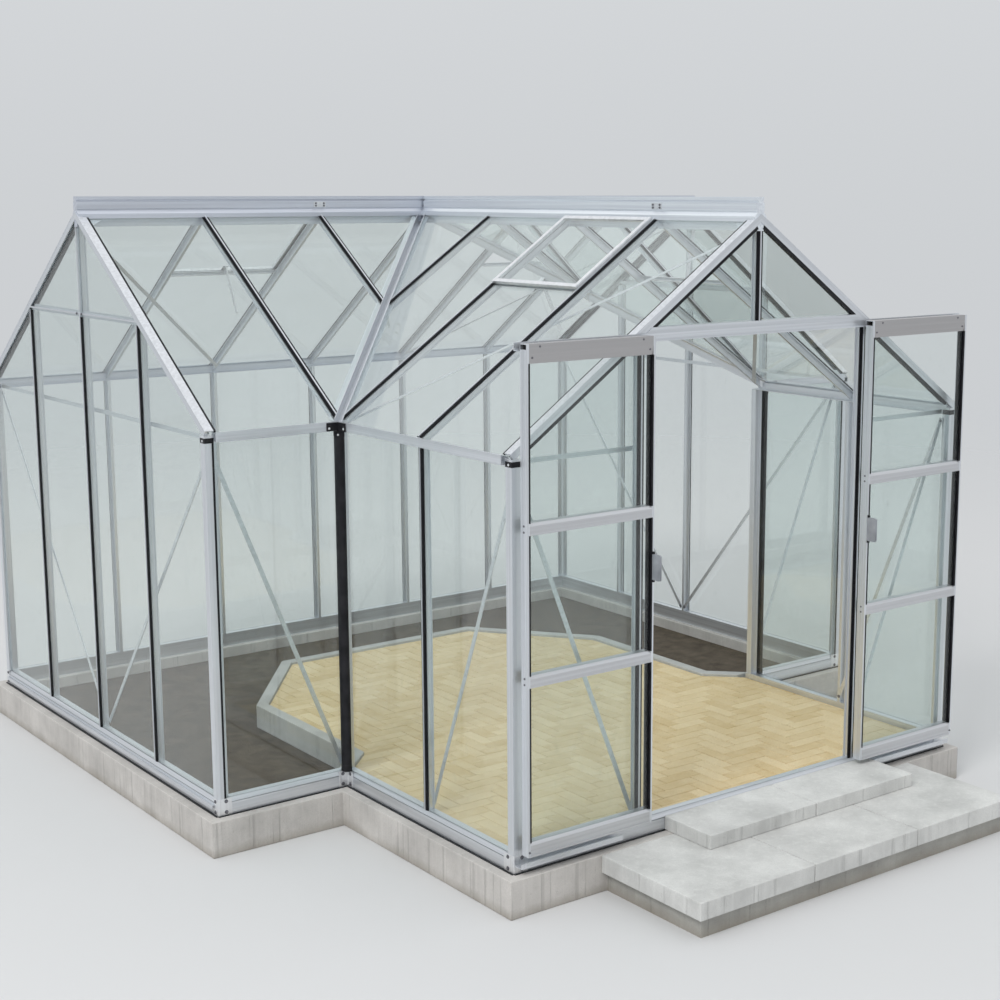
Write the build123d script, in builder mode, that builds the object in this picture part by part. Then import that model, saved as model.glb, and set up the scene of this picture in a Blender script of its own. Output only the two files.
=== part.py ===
"""Glass greenhouse with a T-shaped plan, crossing ridges and a pair of sliding doors.

The origin is on the ground under the crossing of the two ridges. The cross house runs along X,
the stem runs toward -Y and ends in the gable with the doors. Sizes are in millimetres.
"""

import os
from math import cos, radians, sin, sqrt, tan

from build123d import *

os.makedirs("parts", exist_ok=True)

# Driving dimensions of the house
module = 642.5
half = 2 * module
eave_height = 1636.0
roof_pitch = 34.6
roof_seat = 41.0
plinth_height = 160.0
plinth_out = 55.0
plinth_in = 75.0
base_height = 76.0
post_proud = 8.0

# Driving dimensions of the glazing
glass = 4.0
flange_width = 32.0
flange_thick = 3.0
rib_width = 7.0
rib_proud = 9.0
web_thick = 4.0
bar_depth = 38.0
foot_width = 16.0
foot_thick = 4.0
seal_edge = 3.0
seal_ridge = 6.0
glass_gap = 2.5
profile_wall = 3.0
lip = 8.0
glass_clear = 2.0
glass_seat = 58.0
verge_cover = 10.0
brace_width = 20.0
brace_thick = 3.0

# Driving dimensions of the base, gutter, ridge and valley sections
base_groove_low = 54.0
base_groove_high = 57.0
base_groove_depth = 1.0
base_slope_low = 58.0
base_lip = 1.0
base_lip_cover = 3.0
gutter_leg = 30.0
gutter_reach = 30.0
gutter_rim = 38.0
gutter_bead = 4.0
ridge_crest = 80.0
ridge_cap = 16.0
ridge_cap_half = 17.0
ridge_groove = 4.0
ridge_step = 2.0
ridge_face_half = 21.0
ridge_half = 18.0
ridge_lip_high = 18.0
ridge_lip_reach = 32.0
ridge_depth = 60.0
valley_half = 20.0
valley_reach = 44.0
valley_depth = 34.0
valley_under = 5.0
verge_face = 20.0
verge_reach = 16.0

# Driving dimensions of the posts, crossbars, header and track
post_width = 40.0
cover_width = 34.0
cover_round = 24.0
cap_thick = 2.0
cap_height = 30.0
crossbar_drop = 20.0
tie_rise = 4.0
header_rise = 12.0
header_depth = 55.0
header_proud = 12.0
track_face = 4.0
track_depth = 32.0
shelf_reach = 9.0
shelf_thick = 4.0
guide_low = 30.0
guide_high = 52.0
guide_reach = 40.0
guide_thick = 4.0
guide_start = 760.0
sill_low = 45.0
sill_high = 64.0
sill_reach = 12.0
sill_thick = 3.0
sill_inset = 36.0

# Driving dimensions of the roof vents
vent_run = 450.0
vent_hinge_run = 36.0
vent_lift = 5.3
vent_thick = 14.0
vent_bar = 22.0
vent_side_gap = 4.0
vent_overlap = 14.0
vent_open_angle = 36.0
stay_length = 260.0
stay_width = 18.0
stay_thick = 3.0
stay_inset = 53.0
stay_lean = 9.0
stay_bracket_low = 19.0
stay_bracket_high = 65.0
stay_slots = 9
stay_slot_pitch = 24.0
stay_slot_long = 13.0
stay_slot_wide = 6.0

# Driving dimensions of the doors
door_width = 634.0
door_thick = 42.0
door_stile = 12.0
door_wall = 2.5
door_box = 24.0
door_top_board = 74.0
door_fold = 35.0
door_set_back = 4.0
door_rail = 48.0
door_rail_bevel = 12.0
door_bevel_depth = 7.0
door_bottom_rail = 60.0
door_lip_high = 9.0
door_lip_reach = 3.0
door_glass_set = 9.0
door_groove = 2.0
door_groove_places = (14.0, 27.0)
door_seal_width = 8.0
door_seal_thick = 3.0
door_back_lip = 9.0
door_stand_off = 24.0
door_low = 84.0
door_lap = 28.0
door_rail_heights = (795.0, 1395.0)
door_corner_gap = 23.0
handle_low = 1115.0
handle_high = 1222.0
handle_reach = 50.0
handle_thick = 9.0
handle_round = 9.0
handle_inset = 2.0
roller_radius = 9.0
roller_width = 9.0
hanger_width = 40.0
hanger_thick = 3.0
hanger_inset = 60.0
roller_clearance = 0.3

# Driving dimensions of the steps and floor
floor_level = 48.0
step_slab = 620.0
slab_joint = 3.0
lower_slabs = 3
upper_slabs = 2
lower_step_start = -885.0
upper_step_start = -500.0
lower_step_thick = 76.0
upper_step_thick = 62.0
lower_step_depth = 600.0
upper_step_depth = 287.0
footing_inset = 30.0
bed_depth = 60.0
kerb_width = 60.0
kerb_rise = 12.0
kerb_side = 1070.0
kerb_turn = 120.0
kerb_back = 500.0
kerb_back_half = 600.0

# Worked-out places
slope = radians(roof_pitch)
wall = half - post_proud
cross_end = half + module - post_proud
stem_end = half + 2 * module - post_proud
wall_foot = plinth_height + base_height
wall_top = plinth_height + eave_height
bar_top = wall_top - lip
rise_per_run = tan(slope)
apex = wall_top + roof_seat + wall * rise_per_run
crossbar = apex - module * rise_per_run - crossbar_drop
crossbar_foot = crossbar - flange_width / 2
header_top = apex - module * rise_per_run + header_rise
header_foot = header_top - header_depth
door_top = header_foot + door_lap
door_outer_edge = half - door_corner_gap
door_inner_edge = door_outer_edge - door_width
glass_edge = rib_width / 2 + glass_gap
glass_low = plinth_height + glass_seat
glass_high = wall_top - glass_clear
corner_glass = post_width + glass_clear
roof_start = ridge_half + 2 * glass_clear
roof_end = wall + post_proud
verge_edge = glass
vent_tilt = radians(vent_open_angle)

UP = Vector(0, 0, 1)
LEFT = Vector(-1, 0, 0)
RIGHT = Vector(1, 0, 0)
BACK = Vector(0, 1, 0)
FRONT = Vector(0, -1, 0)


def level(outward):
    """World direction that places are measured along on a wall or slope."""
    return Vector(abs(outward.Y), abs(outward.X), 0)


def roof_height(run):
    """Height of the outer face of the roof glass at a level distance from the ridge line."""
    return apex - run * rise_per_run


def upright_plane(outward, distance, place, height):
    """Plane for the section of an upright bar: y outward, z up."""
    origin = outward * distance + level(outward) * place + UP * height
    return Plane(origin=origin, x_dir=outward.cross(UP), z_dir=UP)


def level_plane(outward, distance, place, height):
    """Plane for the section of a level bar in a wall: y outward, z along the wall."""
    origin = outward * distance + level(outward) * place + UP * height
    return Plane(origin=origin, x_dir=outward.cross(level(outward)), z_dir=level(outward))


def rafter_plane(outward, place, start_run):
    """Plane for the section of a rafter: y out of the roof, z down the slope."""
    origin = outward * start_run + level(outward) * place + UP * roof_height(start_run)
    down = outward * cos(slope) - UP * sin(slope)
    return Plane(origin=origin, x_dir=UP.cross(outward), z_dir=down)


def slope_plane(outward, place, run, lift=0.0):
    """Plane lying in a roof slope: y up the slope, z out of the roof."""
    normal = outward * sin(slope) + UP * cos(slope)
    origin = outward * run + level(outward) * place + UP * roof_height(run) + normal * lift
    return Plane(origin=origin, x_dir=UP.cross(outward), z_dir=normal)


def wall_plane(outward, distance, place, height):
    """Plane lying in a wall: y up, z outward."""
    origin = outward * distance + level(outward) * place + UP * height
    return Plane(origin=origin, x_dir=UP.cross(outward), z_dir=outward)


def footprint(grow, mode=Mode.ADD):
    """T-shaped plan of the house, grown past the outer faces of the posts."""
    Rectangle(2 * (half + module + grow), 2 * (half + grow), mode=mode)
    stem_length = half + 2 * module + grow
    with Locations((0, -stem_length / 2)):
        Rectangle(2 * (half + grow), stem_length, mode=mode)


def paved_area(mode=Mode.ADD):
    """Plan of the paved floor up to the kerbs of the planting beds, reaching past the front."""
    front = -2 * stem_end
    right = [
        (half, front),
        (half, -half),
        (kerb_side, -kerb_side),
        (kerb_side, -kerb_turn),
        (kerb_back_half, kerb_back),
    ]
    left = [(-x, y) for x, y in reversed(right)]
    Polygon(*right, *left, align=None, mode=mode)


def block(x_low, x_high, y_low, y_high, mode=Mode.ADD):
    """Rectangle in a sketch between two places each way."""
    with Locations(((x_low + x_high) / 2, (y_low + y_high) / 2)):
        Rectangle(abs(x_high - x_low), abs(y_high - y_low), mode=mode)


def bar_section():
    """Section of a glazing bar: x across it, y outward from the outer face of the glass."""
    block(-flange_width / 2, flange_width / 2, -glass - flange_thick, -glass)
    block(-rib_width / 2, rib_width / 2, -glass, rib_proud)
    block(-web_thick / 2, web_thick / 2, -bar_depth, -glass)
    block(-foot_width / 2, foot_width / 2, -bar_depth, foot_thick - bar_depth)


def seal_section():
    """Section of the pair of capping strips beside the rib of a glazing bar."""
    for side in (1, -1):
        inner = side * rib_width / 2
        outer = side * flange_width / 2
        Polygon((inner, 0), (outer, 0), (outer, seal_edge), (inner, seal_ridge), align=None)


def upright(section, outward, distance, place, low, high):
    """One upright with the given section between two heights."""
    with BuildSketch(upright_plane(outward, distance, place, low)) as sketch:
        section()
    extrude(sketch.sketch, amount=high - low)


def level_bar(section, outward, distance, height, start, end):
    """One level bar with the given section between two places along a wall."""
    with BuildSketch(level_plane(outward, distance, start, height)) as sketch:
        section()
    extrude(sketch.sketch, amount=end - start)


def rafter(section, outward, place, start_run, end_run):
    """One sloping bar with the given section between two level distances from the ridge."""
    with BuildSketch(rafter_plane(outward, place, start_run)) as sketch:
        section()
    extrude(sketch.sketch, amount=(end_run - start_run) / cos(slope))


def wall_pane(outward, distance, start, end, low, high):
    """One upright pane between two places and two heights."""
    middle = (start + end) / 2
    with BuildSketch(wall_plane(outward, distance, middle, (low + high) / 2)) as sketch:
        Rectangle(end - start, high - low)
    extrude(sketch.sketch, amount=-glass)


def gable_pane(outward, distance, near, far, low, hand):
    """One pane of a gable under the slope of the roof, on one side of the middle."""
    side = hand * UP.cross(outward).dot(level(outward))
    under = apex - verge_cover / cos(slope)
    far = min(far, (under - low) / rise_per_run)
    points = [(side * near, under - near * rise_per_run), (side * near, low), (side * far, low)]
    if under - far * rise_per_run > low + glass:
        points.append((side * far, under - far * rise_per_run))
    with BuildSketch(wall_plane(outward, distance, 0, 0)) as sketch:
        Polygon(*points, align=None)
    extrude(sketch.sketch, amount=-glass)


def roof_pane(outward, start, end, start_run, end_run):
    """One pane of a roof slope between two places and two distances from the ridge."""
    middle = (start + end) / 2
    middle_run = (start_run + end_run) / 2
    with BuildSketch(slope_plane(outward, middle, middle_run)) as sketch:
        Rectangle(end - start, (end_run - start_run) / cos(slope))
    extrude(sketch.sketch, amount=-glass)


def flat_bar(start, end, normal):
    """One flat brace whose middle line joins two points."""
    reach = end - start
    with BuildSketch(Plane(origin=(start + end) * 0.5, x_dir=reach, z_dir=normal)) as sketch:
        Rectangle(reach.length, brace_width)
    extrude(sketch.sketch, amount=brace_thick)


def cut_stem_sector(gap):
    """Take away all between the two valley lines on the stem's side, and a gap beside them."""
    reach = 2 * half
    edge = gap * sqrt(2)
    with BuildSketch(Plane.XY) as sketch:
        Polygon((0, edge), (-reach, edge - reach), (reach, edge - reach), align=None)
    extrude(sketch.sketch, amount=2 * apex, mode=Mode.SUBTRACT)


def cut_cross_sector(gap):
    """Take away all beyond the two valley lines on the cross house's side, and a gap."""
    reach = 4 * half
    edge = gap * sqrt(2)
    with BuildSketch(Plane.XY) as sketch:
        Polygon(
            (0, -edge),
            (-reach, -edge - reach),
            (-reach, reach),
            (reach, reach),
            (reach, -edge - reach),
            align=None,
        )
    extrude(sketch.sketch, amount=2 * apex, mode=Mode.SUBTRACT)


def cut_eaves():
    """Take away what reaches down over the top of the walls and into the gutters."""
    with BuildSketch(Plane.XY.offset(wall_top - ridge_depth)) as sketch:
        footprint(2 * gutter_reach)
        footprint(-post_proud - glass - flange_thick, mode=Mode.SUBTRACT)
    extrude(sketch.sketch, amount=ridge_depth + gutter_leg, mode=Mode.SUBTRACT)


def trim_gable(outward, distance, drop):
    """Take away all of a gable's bars that is above a line under the roof's two slopes."""
    reach = half + module
    top = 2 * apex
    edge = drop / cos(slope)
    with BuildSketch(wall_plane(outward, distance + bar_depth, 0, 0)) as sketch:
        Polygon(
            (-reach, top),
            (-reach, roof_height(reach) - edge),
            (0, apex - edge),
            (reach, roof_height(reach) - edge),
            (reach, top),
            align=None,
        )
    extrude(sketch.sketch, amount=-3 * bar_depth, mode=Mode.SUBTRACT)


# Concrete plinth, floor and steps
with BuildPart() as plinth:
    with BuildSketch(Plane.XY):
        footprint(plinth_out)
        footprint(-plinth_in, mode=Mode.SUBTRACT)
    extrude(amount=plinth_height)
plinth.part.label = "plinth"
export_step(plinth.part, "parts/plinth.step")

bed_level = plinth_height - bed_depth
kerb_height = bed_depth + floor_level + kerb_rise
with BuildPart() as paved_floor:
    with BuildSketch(Plane.XY):
        footprint(-plinth_in)
    extrude(amount=bed_level)
    with BuildSketch(Plane.XY.offset(bed_level)):
        paved_area()
        footprint(-plinth_in, mode=Mode.INTERSECT)
    extrude(amount=bed_depth)
    with BuildSketch(Plane.XY.offset(plinth_height)):
        paved_area()
        footprint(-post_proud - bar_depth, mode=Mode.INTERSECT)
    extrude(amount=floor_level)
paved_floor.part.label = "paved_floor"
export_step(paved_floor.part, "parts/paved_floor.step")

with BuildPart() as bed_kerbs:
    with BuildSketch(Plane.XY.offset(bed_level)):
        paved_area()
        offset(amount=kerb_width, kind=Kind.INTERSECTION)
        paved_area(mode=Mode.SUBTRACT)
        footprint(-plinth_in, mode=Mode.INTERSECT)
    extrude(amount=kerb_height)
bed_kerbs.part.label = "bed_kerbs"
export_step(bed_kerbs.part, "parts/bed_kerbs.step")

lower_back = -(half + 2 * module + plinth_out)
lower_front = lower_back - lower_step_depth
with BuildPart() as lower_step:
    with BuildSketch(Plane.XY.offset(plinth_height)):
        for count in range(lower_slabs):
            start = lower_step_start + count * step_slab
            block(start, start + step_slab - slab_joint, lower_front, lower_back)
    extrude(amount=-lower_step_thick)
lower_step.part.label = "lower_step"
export_step(lower_step.part, "parts/lower_step.step")

with BuildPart() as step_footing:
    with BuildSketch(Plane.XY):
        block(
            lower_step_start + footing_inset,
            lower_step_start + lower_slabs * step_slab - footing_inset,
            lower_front + footing_inset,
            lower_back,
        )
    extrude(amount=plinth_height - lower_step_thick)
step_footing.part.label = "step_footing"
export_step(step_footing.part, "parts/step_footing.step")

upper_back = -(half + 2 * module)
with BuildPart() as upper_step:
    with BuildSketch(Plane.XY.offset(plinth_height)):
        for count in range(upper_slabs):
            start = upper_step_start + count * step_slab
            block(start, start + step_slab - slab_joint, upper_back - upper_step_depth, upper_back)
    extrude(amount=upper_step_thick)
upper_step.part.label = "upper_step"
export_step(upper_step.part, "parts/upper_step.step")

# Aluminium base rail, swept round the whole plan with mitred corners
with BuildPart() as base_rail:
    with BuildLine() as wall_line:
        Polyline(
            (0, wall, plinth_height),
            (cross_end, wall, plinth_height),
            (cross_end, -wall, plinth_height),
            (wall, -wall, plinth_height),
            (wall, -stem_end, plinth_height),
            (-wall, -stem_end, plinth_height),
            (-wall, -wall, plinth_height),
            (-cross_end, -wall, plinth_height),
            (-cross_end, wall, plinth_height),
            close=True,
        )
    with BuildSketch(Plane(origin=(0, wall, plinth_height), x_dir=BACK, z_dir=RIGHT)):
        Polygon(
            (-bar_depth, 0),
            (post_proud, 0),
            (post_proud, base_groove_low),
            (-base_groove_depth, base_groove_low),
            (-base_groove_depth, base_groove_high),
            (post_proud, base_groove_high),
            (post_proud, base_slope_low),
            (base_lip, base_height),
            (0, base_height),
            (0, glass_seat),
            (-glass, glass_seat),
            (-glass, base_height),
            (-bar_depth, base_height),
            align=None,
        )
        block(
            profile_wall - bar_depth,
            -glass - profile_wall,
            profile_wall,
            base_height - profile_wall,
            mode=Mode.SUBTRACT,
        )
    sweep(path=wall_line.line, transition=Transition.RIGHT)
base_rail.part.label = "base_rail"
export_step(base_rail.part, "parts/base_rail.step")

# Eaves gutters: one along the back, one round each inner corner at the sides


def gutter_section():
    """Section of the eaves gutter: x outward from the glass face, y up from the wall top."""
    block(-glass - flange_thick, 0, 0, gutter_leg)
    block(-glass - flange_thick, -glass, -lip, 0)
    block(0, base_lip_cover, -lip, flange_thick)
    block(0, gutter_reach, 0, flange_thick)
    block(gutter_reach - flange_thick, gutter_reach, 0, gutter_rim)
    block(gutter_reach - flange_thick - gutter_bead, gutter_reach, gutter_rim - gutter_bead, gutter_rim)
    block(post_proud - post_width, -glass, -lip, flange_thick - lip)


gutter_end = half + module - post_width
with BuildPart() as back_gutter:
    with BuildSketch(Plane(origin=(-gutter_end, wall, wall_top), x_dir=BACK, z_dir=RIGHT)):
        gutter_section()
    extrude(amount=2 * gutter_end)
back_gutter.part.label = "back_gutter"
export_step(back_gutter.part, "parts/back_gutter.step")

with BuildPart() as side_gutters:
    stem_gutter_end = gutter_end + module
    with BuildLine() as gutter_line:
        Polyline(
            (-wall, -stem_gutter_end, wall_top),
            (-wall, -wall, wall_top),
            (-gutter_end, -wall, wall_top),
        )
    with BuildSketch(Plane(origin=(-wall, -stem_gutter_end, wall_top), x_dir=LEFT, z_dir=BACK)):
        gutter_section()
    sweep(path=gutter_line.line, transition=Transition.RIGHT)
    mirror(about=Plane.YZ)
side_gutters.part.label = "side_gutters"
export_step(side_gutters.part, "parts/side_gutters.step")

# Ridges


def ridge_section():
    """Section of a ridge: x level across it, y up from the top of the glass planes."""
    cap_foot = ridge_crest - ridge_cap
    groove_half = ridge_cap_half - ridge_groove
    for side in (1, -1):
        Polygon(
            (0, ridge_crest),
            (side * ridge_cap_half, ridge_crest),
            (side * ridge_cap_half, cap_foot),
            (side * groove_half, cap_foot - ridge_step),
            (side * groove_half, cap_foot - ridge_step - ridge_groove),
            (side * ridge_face_half, cap_foot - 2 * ridge_step - ridge_groove),
            (side * ridge_face_half, ridge_lip_high + 2 * ridge_step),
            (side * ridge_half, ridge_lip_high + ridge_step),
            (side * ridge_half, ridge_lip_high - ridge_step),
            (side * ridge_lip_reach, 0),
            (side * ridge_lip_reach, -ridge_lip_reach * rise_per_run),
            (side * ridge_half, -ridge_half * rise_per_run),
            (side * ridge_half, -ridge_depth),
            (0, -ridge_depth),
            align=None,
        )


with BuildPart() as cross_ridge:
    reach = cross_end + glass
    with BuildSketch(Plane(origin=(-reach, 0, apex), x_dir=BACK, z_dir=RIGHT)):
        ridge_section()
    extrude(amount=2 * reach)
cross_ridge.part.label = "cross_ridge"
export_step(cross_ridge.part, "parts/cross_ridge.step")

with BuildPart() as stem_ridge:
    with BuildSketch(Plane(origin=(0, -ridge_half, apex), x_dir=RIGHT, z_dir=FRONT)):
        neck = ridge_cap_half - ridge_groove
        block(-neck, neck, -ridge_depth, ridge_crest)
    extrude(amount=ridge_lip_reach)
    with BuildSketch(Plane(origin=(0, -ridge_lip_reach, apex), x_dir=RIGHT, z_dir=FRONT)):
        ridge_section()
    extrude(amount=stem_end + glass - ridge_lip_reach)
    add(cross_ridge.part, mode=Mode.SUBTRACT)
stem_ridge.part.label = "stem_ridge"
export_step(stem_ridge.part, "parts/stem_ridge.step")

# Valley rafters: open gutter beams on the two lines where the roofs meet
valley_fall = rise_per_run / sqrt(2)
valley_down = Vector(-1, -1, -rise_per_run)
valley_start = UP * apex + valley_down * ridge_half
with BuildPart() as valley_rafters:
    section_plane = Plane(origin=valley_start, x_dir=(1, -1, 0), z_dir=(-1, -1, 0))
    with BuildSketch(section_plane) as valley_sketch:
        for side in (1, -1):
            Polygon(
                (0, -valley_depth),
                (side * valley_half, -valley_depth),
                (side * valley_half, valley_half * valley_fall - valley_under - flange_thick),
                (side * valley_reach, valley_reach * valley_fall - valley_under - flange_thick),
                (side * valley_reach, valley_reach * valley_fall - valley_under),
                (side * valley_half, valley_half * valley_fall - valley_under),
                (side * valley_half, valley_half * valley_fall + rib_proud),
                (side * (valley_half - flange_thick), valley_half * valley_fall + rib_proud),
                (side * (valley_half - flange_thick), flange_thick - valley_depth),
                (0, flange_thick - valley_depth),
                align=None,
            )
    extrude(valley_sketch.sketch, amount=valley_down.length * wall, dir=valley_down)
    mirror(about=Plane.YZ)
    cut_eaves()
    add(cross_ridge.part, mode=Mode.SUBTRACT)
    add(stem_ridge.part, mode=Mode.SUBTRACT)
valley_rafters.part.label = "valley_rafters"
export_step(valley_rafters.part, "parts/valley_rafters.step")

# Corner posts, and inner corner posts with their covers


def convex_corners():
    """The six outward corners of the plan, each with the signs of its place."""
    for side in (1, -1):
        yield side * (half + module), half, side, 1
        yield side * (half + module), -half, side, -1
        yield side * half, -half - 2 * module, side, -1


def post_section(x, y, side, end):
    """Section of a square post with a flange for the glass on each side."""
    block(x, x - side * post_width, y, y - end * post_width)
    inner = post_width - profile_wall
    block(
        x - side * profile_wall,
        x - side * inner,
        y - end * profile_wall,
        y - end * inner,
        mode=Mode.SUBTRACT,
    )
    flange = post_proud + glass
    far = post_width + flange_width / 2
    block(x - side * inner, x - side * far, y - end * flange, y - end * (flange + flange_thick))
    block(x - side * flange, x - side * (flange + flange_thick), y - end * inner, y - end * far)


with BuildPart() as corner_posts:
    with BuildSketch(Plane.XY.offset(wall_foot)):
        for x, y, side, end in convex_corners():
            post_section(x, y, side, end)
    extrude(amount=bar_top - wall_foot)
corner_posts.part.label = "corner_posts"
export_step(corner_posts.part, "parts/corner_posts.step")

with BuildPart() as inner_posts:
    with BuildSketch(Plane.XY.offset(wall_foot)):
        for side in (1, -1):
            x = side * wall
            back = x - side * cover_width
            block(x, back, -wall, -wall + cover_width)
            block(
                x - side * profile_wall,
                back + side * profile_wall,
                -wall + profile_wall,
                -wall + cover_width - profile_wall,
                mode=Mode.SUBTRACT,
            )
            reach = flange_width / 2
            block(x, x + side * reach, -wall + glass, -wall + glass + flange_thick)
            block(x - side * glass, x - side * (glass + flange_thick), -wall, -wall - reach)
    extrude(amount=bar_top - wall_foot)
inner_posts.part.label = "inner_posts"
export_step(inner_posts.part, "parts/inner_posts.step")

with BuildPart() as corner_covers:
    for side in (1, -1):
        with BuildSketch(Plane.XY.offset(wall_foot)) as cover_sketch:
            x = side * wall
            block(x, x + side * cover_width, -wall, -wall - cover_width)
            outer = cover_sketch.vertices().sort_by_distance((x * 2, -wall * 2, wall_foot))[0]
            fillet(outer, radius=cover_round)
        extrude(cover_sketch.sketch, amount=bar_top - wall_foot)
corner_covers.part.label = "corner_covers"
export_step(corner_covers.part, "parts/corner_covers.step")

# Glazing bars of the gables and side walls
with BuildPart() as gable_bars:
    for outward in (LEFT, RIGHT):
        for place in (-module, module):
            upright(bar_section, outward, cross_end, place, wall_foot, crossbar_foot)
        upright(bar_section, outward, cross_end, 0, wall_foot, apex - ridge_depth)
        trim_gable(outward, cross_end, verge_face)
    for place in (-module, module):
        upright(bar_section, FRONT, stem_end, place, wall_foot, header_foot)
    upright(bar_section, FRONT, stem_end, 0, header_top, apex - ridge_depth)
    trim_gable(FRONT, stem_end, verge_face)
gable_bars.part.label = "gable_bars"
export_step(gable_bars.part, "parts/gable_bars.step")

with BuildPart() as gable_crossbars:
    for outward in (LEFT, RIGHT):
        level_bar(bar_section, outward, cross_end, crossbar, -module, module)
        trim_gable(outward, cross_end, verge_face)
    add(gable_bars.part, mode=Mode.SUBTRACT)
gable_crossbars.part.label = "gable_crossbars"
export_step(gable_crossbars.part, "parts/gable_crossbars.step")

with BuildPart() as wall_bars:
    for count in range(-2, 3):
        upright(bar_section, BACK, wall, count * module, wall_foot, bar_top)
    for outward in (LEFT, RIGHT):
        upright(bar_section, outward, wall, -half - module, wall_foot, bar_top)
wall_bars.part.label = "wall_bars"
export_step(wall_bars.part, "parts/wall_bars.step")

# Roof bars, cut to the ridges, the valleys and the eaves
with BuildPart() as cross_rafters:
    for place in (-half, -module, module, half):
        rafter(bar_section, FRONT, place, ridge_half, roof_end)
    cut_stem_sector(valley_half)
    for count in range(-2, 3):
        rafter(bar_section, BACK, count * module, ridge_half, roof_end)
    cut_eaves()
    add(cross_ridge.part, mode=Mode.SUBTRACT)
    add(valley_rafters.part, mode=Mode.SUBTRACT)
cross_rafters.part.label = "cross_rafters"
export_step(cross_rafters.part, "parts/cross_rafters.step")

with BuildPart() as stem_rafters:
    for outward in (LEFT, RIGHT):
        for place in (-module, -half, -half - module):
            rafter(bar_section, outward, place, ridge_half, roof_end)
    cut_cross_sector(valley_half)
    cut_eaves()
    add(stem_ridge.part, mode=Mode.SUBTRACT)
    add(valley_rafters.part, mode=Mode.SUBTRACT)
stem_rafters.part.label = "stem_rafters"
export_step(stem_rafters.part, "parts/stem_rafters.step")

# Verge rafters along the edges of the gables


def verge_section():
    """Section of a verge rafter: x out of the gable from its glass face, y out of the roof."""
    cover_foot = rib_proud - glass
    block(-verge_reach, post_proud, cover_foot, rib_proud)
    block(glass, post_proud, -verge_face, rib_proud)
    block(-glass, glass, -verge_cover, cover_foot)
    block(-verge_reach, -glass, -glass - flange_thick, -glass)
    block(-2 * glass, -glass, -verge_face, -glass)


with BuildPart() as side_verges:
    rafter(verge_section, BACK, -cross_end, -verge_face, roof_end)
    with Locations((-cross_end, -half, apex)):
        Box(half, 2 * half, half, mode=Mode.SUBTRACT)
    mirror(about=Plane.XZ)
    mirror(about=Plane.YZ)
    add(cross_ridge.part, mode=Mode.SUBTRACT)
    add(back_gutter.part, mode=Mode.SUBTRACT)
    add(side_gutters.part, mode=Mode.SUBTRACT)
side_verges.part.label = "side_verges"
export_step(side_verges.part, "parts/side_verges.step")

with BuildPart() as front_verges:
    rafter(verge_section, LEFT, -stem_end, -verge_face, roof_end)
    with Locations((half, -stem_end, apex)):
        Box(2 * half, half, half, mode=Mode.SUBTRACT)
    mirror(about=Plane.YZ)
    add(stem_ridge.part, mode=Mode.SUBTRACT)
    add(side_gutters.part, mode=Mode.SUBTRACT)
front_verges.part.label = "front_verges"
export_step(front_verges.part, "parts/front_verges.step")

# Caps that close the corner posts below the ends of the verge rafters
with BuildPart() as post_caps:
    with BuildSketch(Plane.XY.offset(bar_top)):
        for x, y, side, end in convex_corners():
            out_x = x + side * cap_thick
            out_y = y + end * cap_thick
            block(out_x, x - side * post_width, out_y, y - end * post_width)
    extrude(amount=cap_height)
    add(side_verges.part, mode=Mode.SUBTRACT)
    add(front_verges.part, mode=Mode.SUBTRACT)
post_caps.part.label = "post_caps"
export_step(post_caps.part, "parts/post_caps.step")

# Door header with the track that the doors hang on, and the guide rails below them


def header_section():
    """Section of the header: x up, y out of the gable from its glass face."""
    block(0, header_depth, -bar_depth, header_proud)
    block(
        profile_wall,
        header_depth - profile_wall,
        profile_wall - bar_depth,
        header_proud - profile_wall,
        mode=Mode.SUBTRACT,
    )


def track_section():
    """Section of the track: a flat face with a shelf for the rollers."""
    face = header_proud + track_face
    block(0, track_depth, header_proud, face)
    block(0, shelf_thick, header_proud, face + shelf_reach)


def guide_section():
    """Section of a guide rail below a door: a ledge with an upturned edge."""
    outer = post_proud + guide_reach
    block(0, guide_thick, post_proud, outer)
    block(0, guide_high - guide_low, outer - guide_thick, outer)


def sill_section():
    """Section of the drip rail along the base of a side gable: a ledge with an upturned edge."""
    outer = post_proud + sill_reach
    block(0, sill_thick, post_proud, outer)
    block(0, sill_high - sill_low, outer - sill_thick, outer)


with BuildPart() as door_header:
    level_bar(header_section, FRONT, stem_end, header_foot, -module, module)
    trim_gable(FRONT, stem_end, verge_face)
door_header.part.label = "door_header"
export_step(door_header.part, "parts/door_header.step")

track_half = half - post_proud
with BuildPart() as door_track:
    level_bar(track_section, FRONT, stem_end, header_foot, -track_half, track_half)
door_track.part.label = "door_track"
export_step(door_track.part, "parts/door_track.step")

with BuildPart() as guide_rails:
    for start, end in ((-track_half, -guide_start), (guide_start, track_half)):
        level_bar(guide_section, FRONT, stem_end, plinth_height + guide_low, start, end)
    sill_end = half - sill_inset
    for outward in (LEFT, RIGHT):
        level_bar(sill_section, outward, cross_end, plinth_height + sill_low, -sill_end, sill_end)
guide_rails.part.label = "guide_rails"
export_step(guide_rails.part, "parts/guide_rails.step")

# Ties and braces inside the glass
inside = bar_depth
with BuildPart() as tie_bars:
    reach = half - post_width
    for outward in (LEFT, RIGHT):
        place = outward * (cross_end - inside) + UP * (wall_top + tie_rise)
        flat_bar(place - BACK * reach, place + BACK * reach, outward * -1)
    for side in (1, -1):
        place = FRONT * (stem_end - inside) + UP * (wall_top + tie_rise)
        flat_bar(place + RIGHT * side * module, place + RIGHT * side * reach, BACK)
tie_bars.part.label = "tie_bars"
export_step(tie_bars.part, "parts/tie_bars.step")

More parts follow.
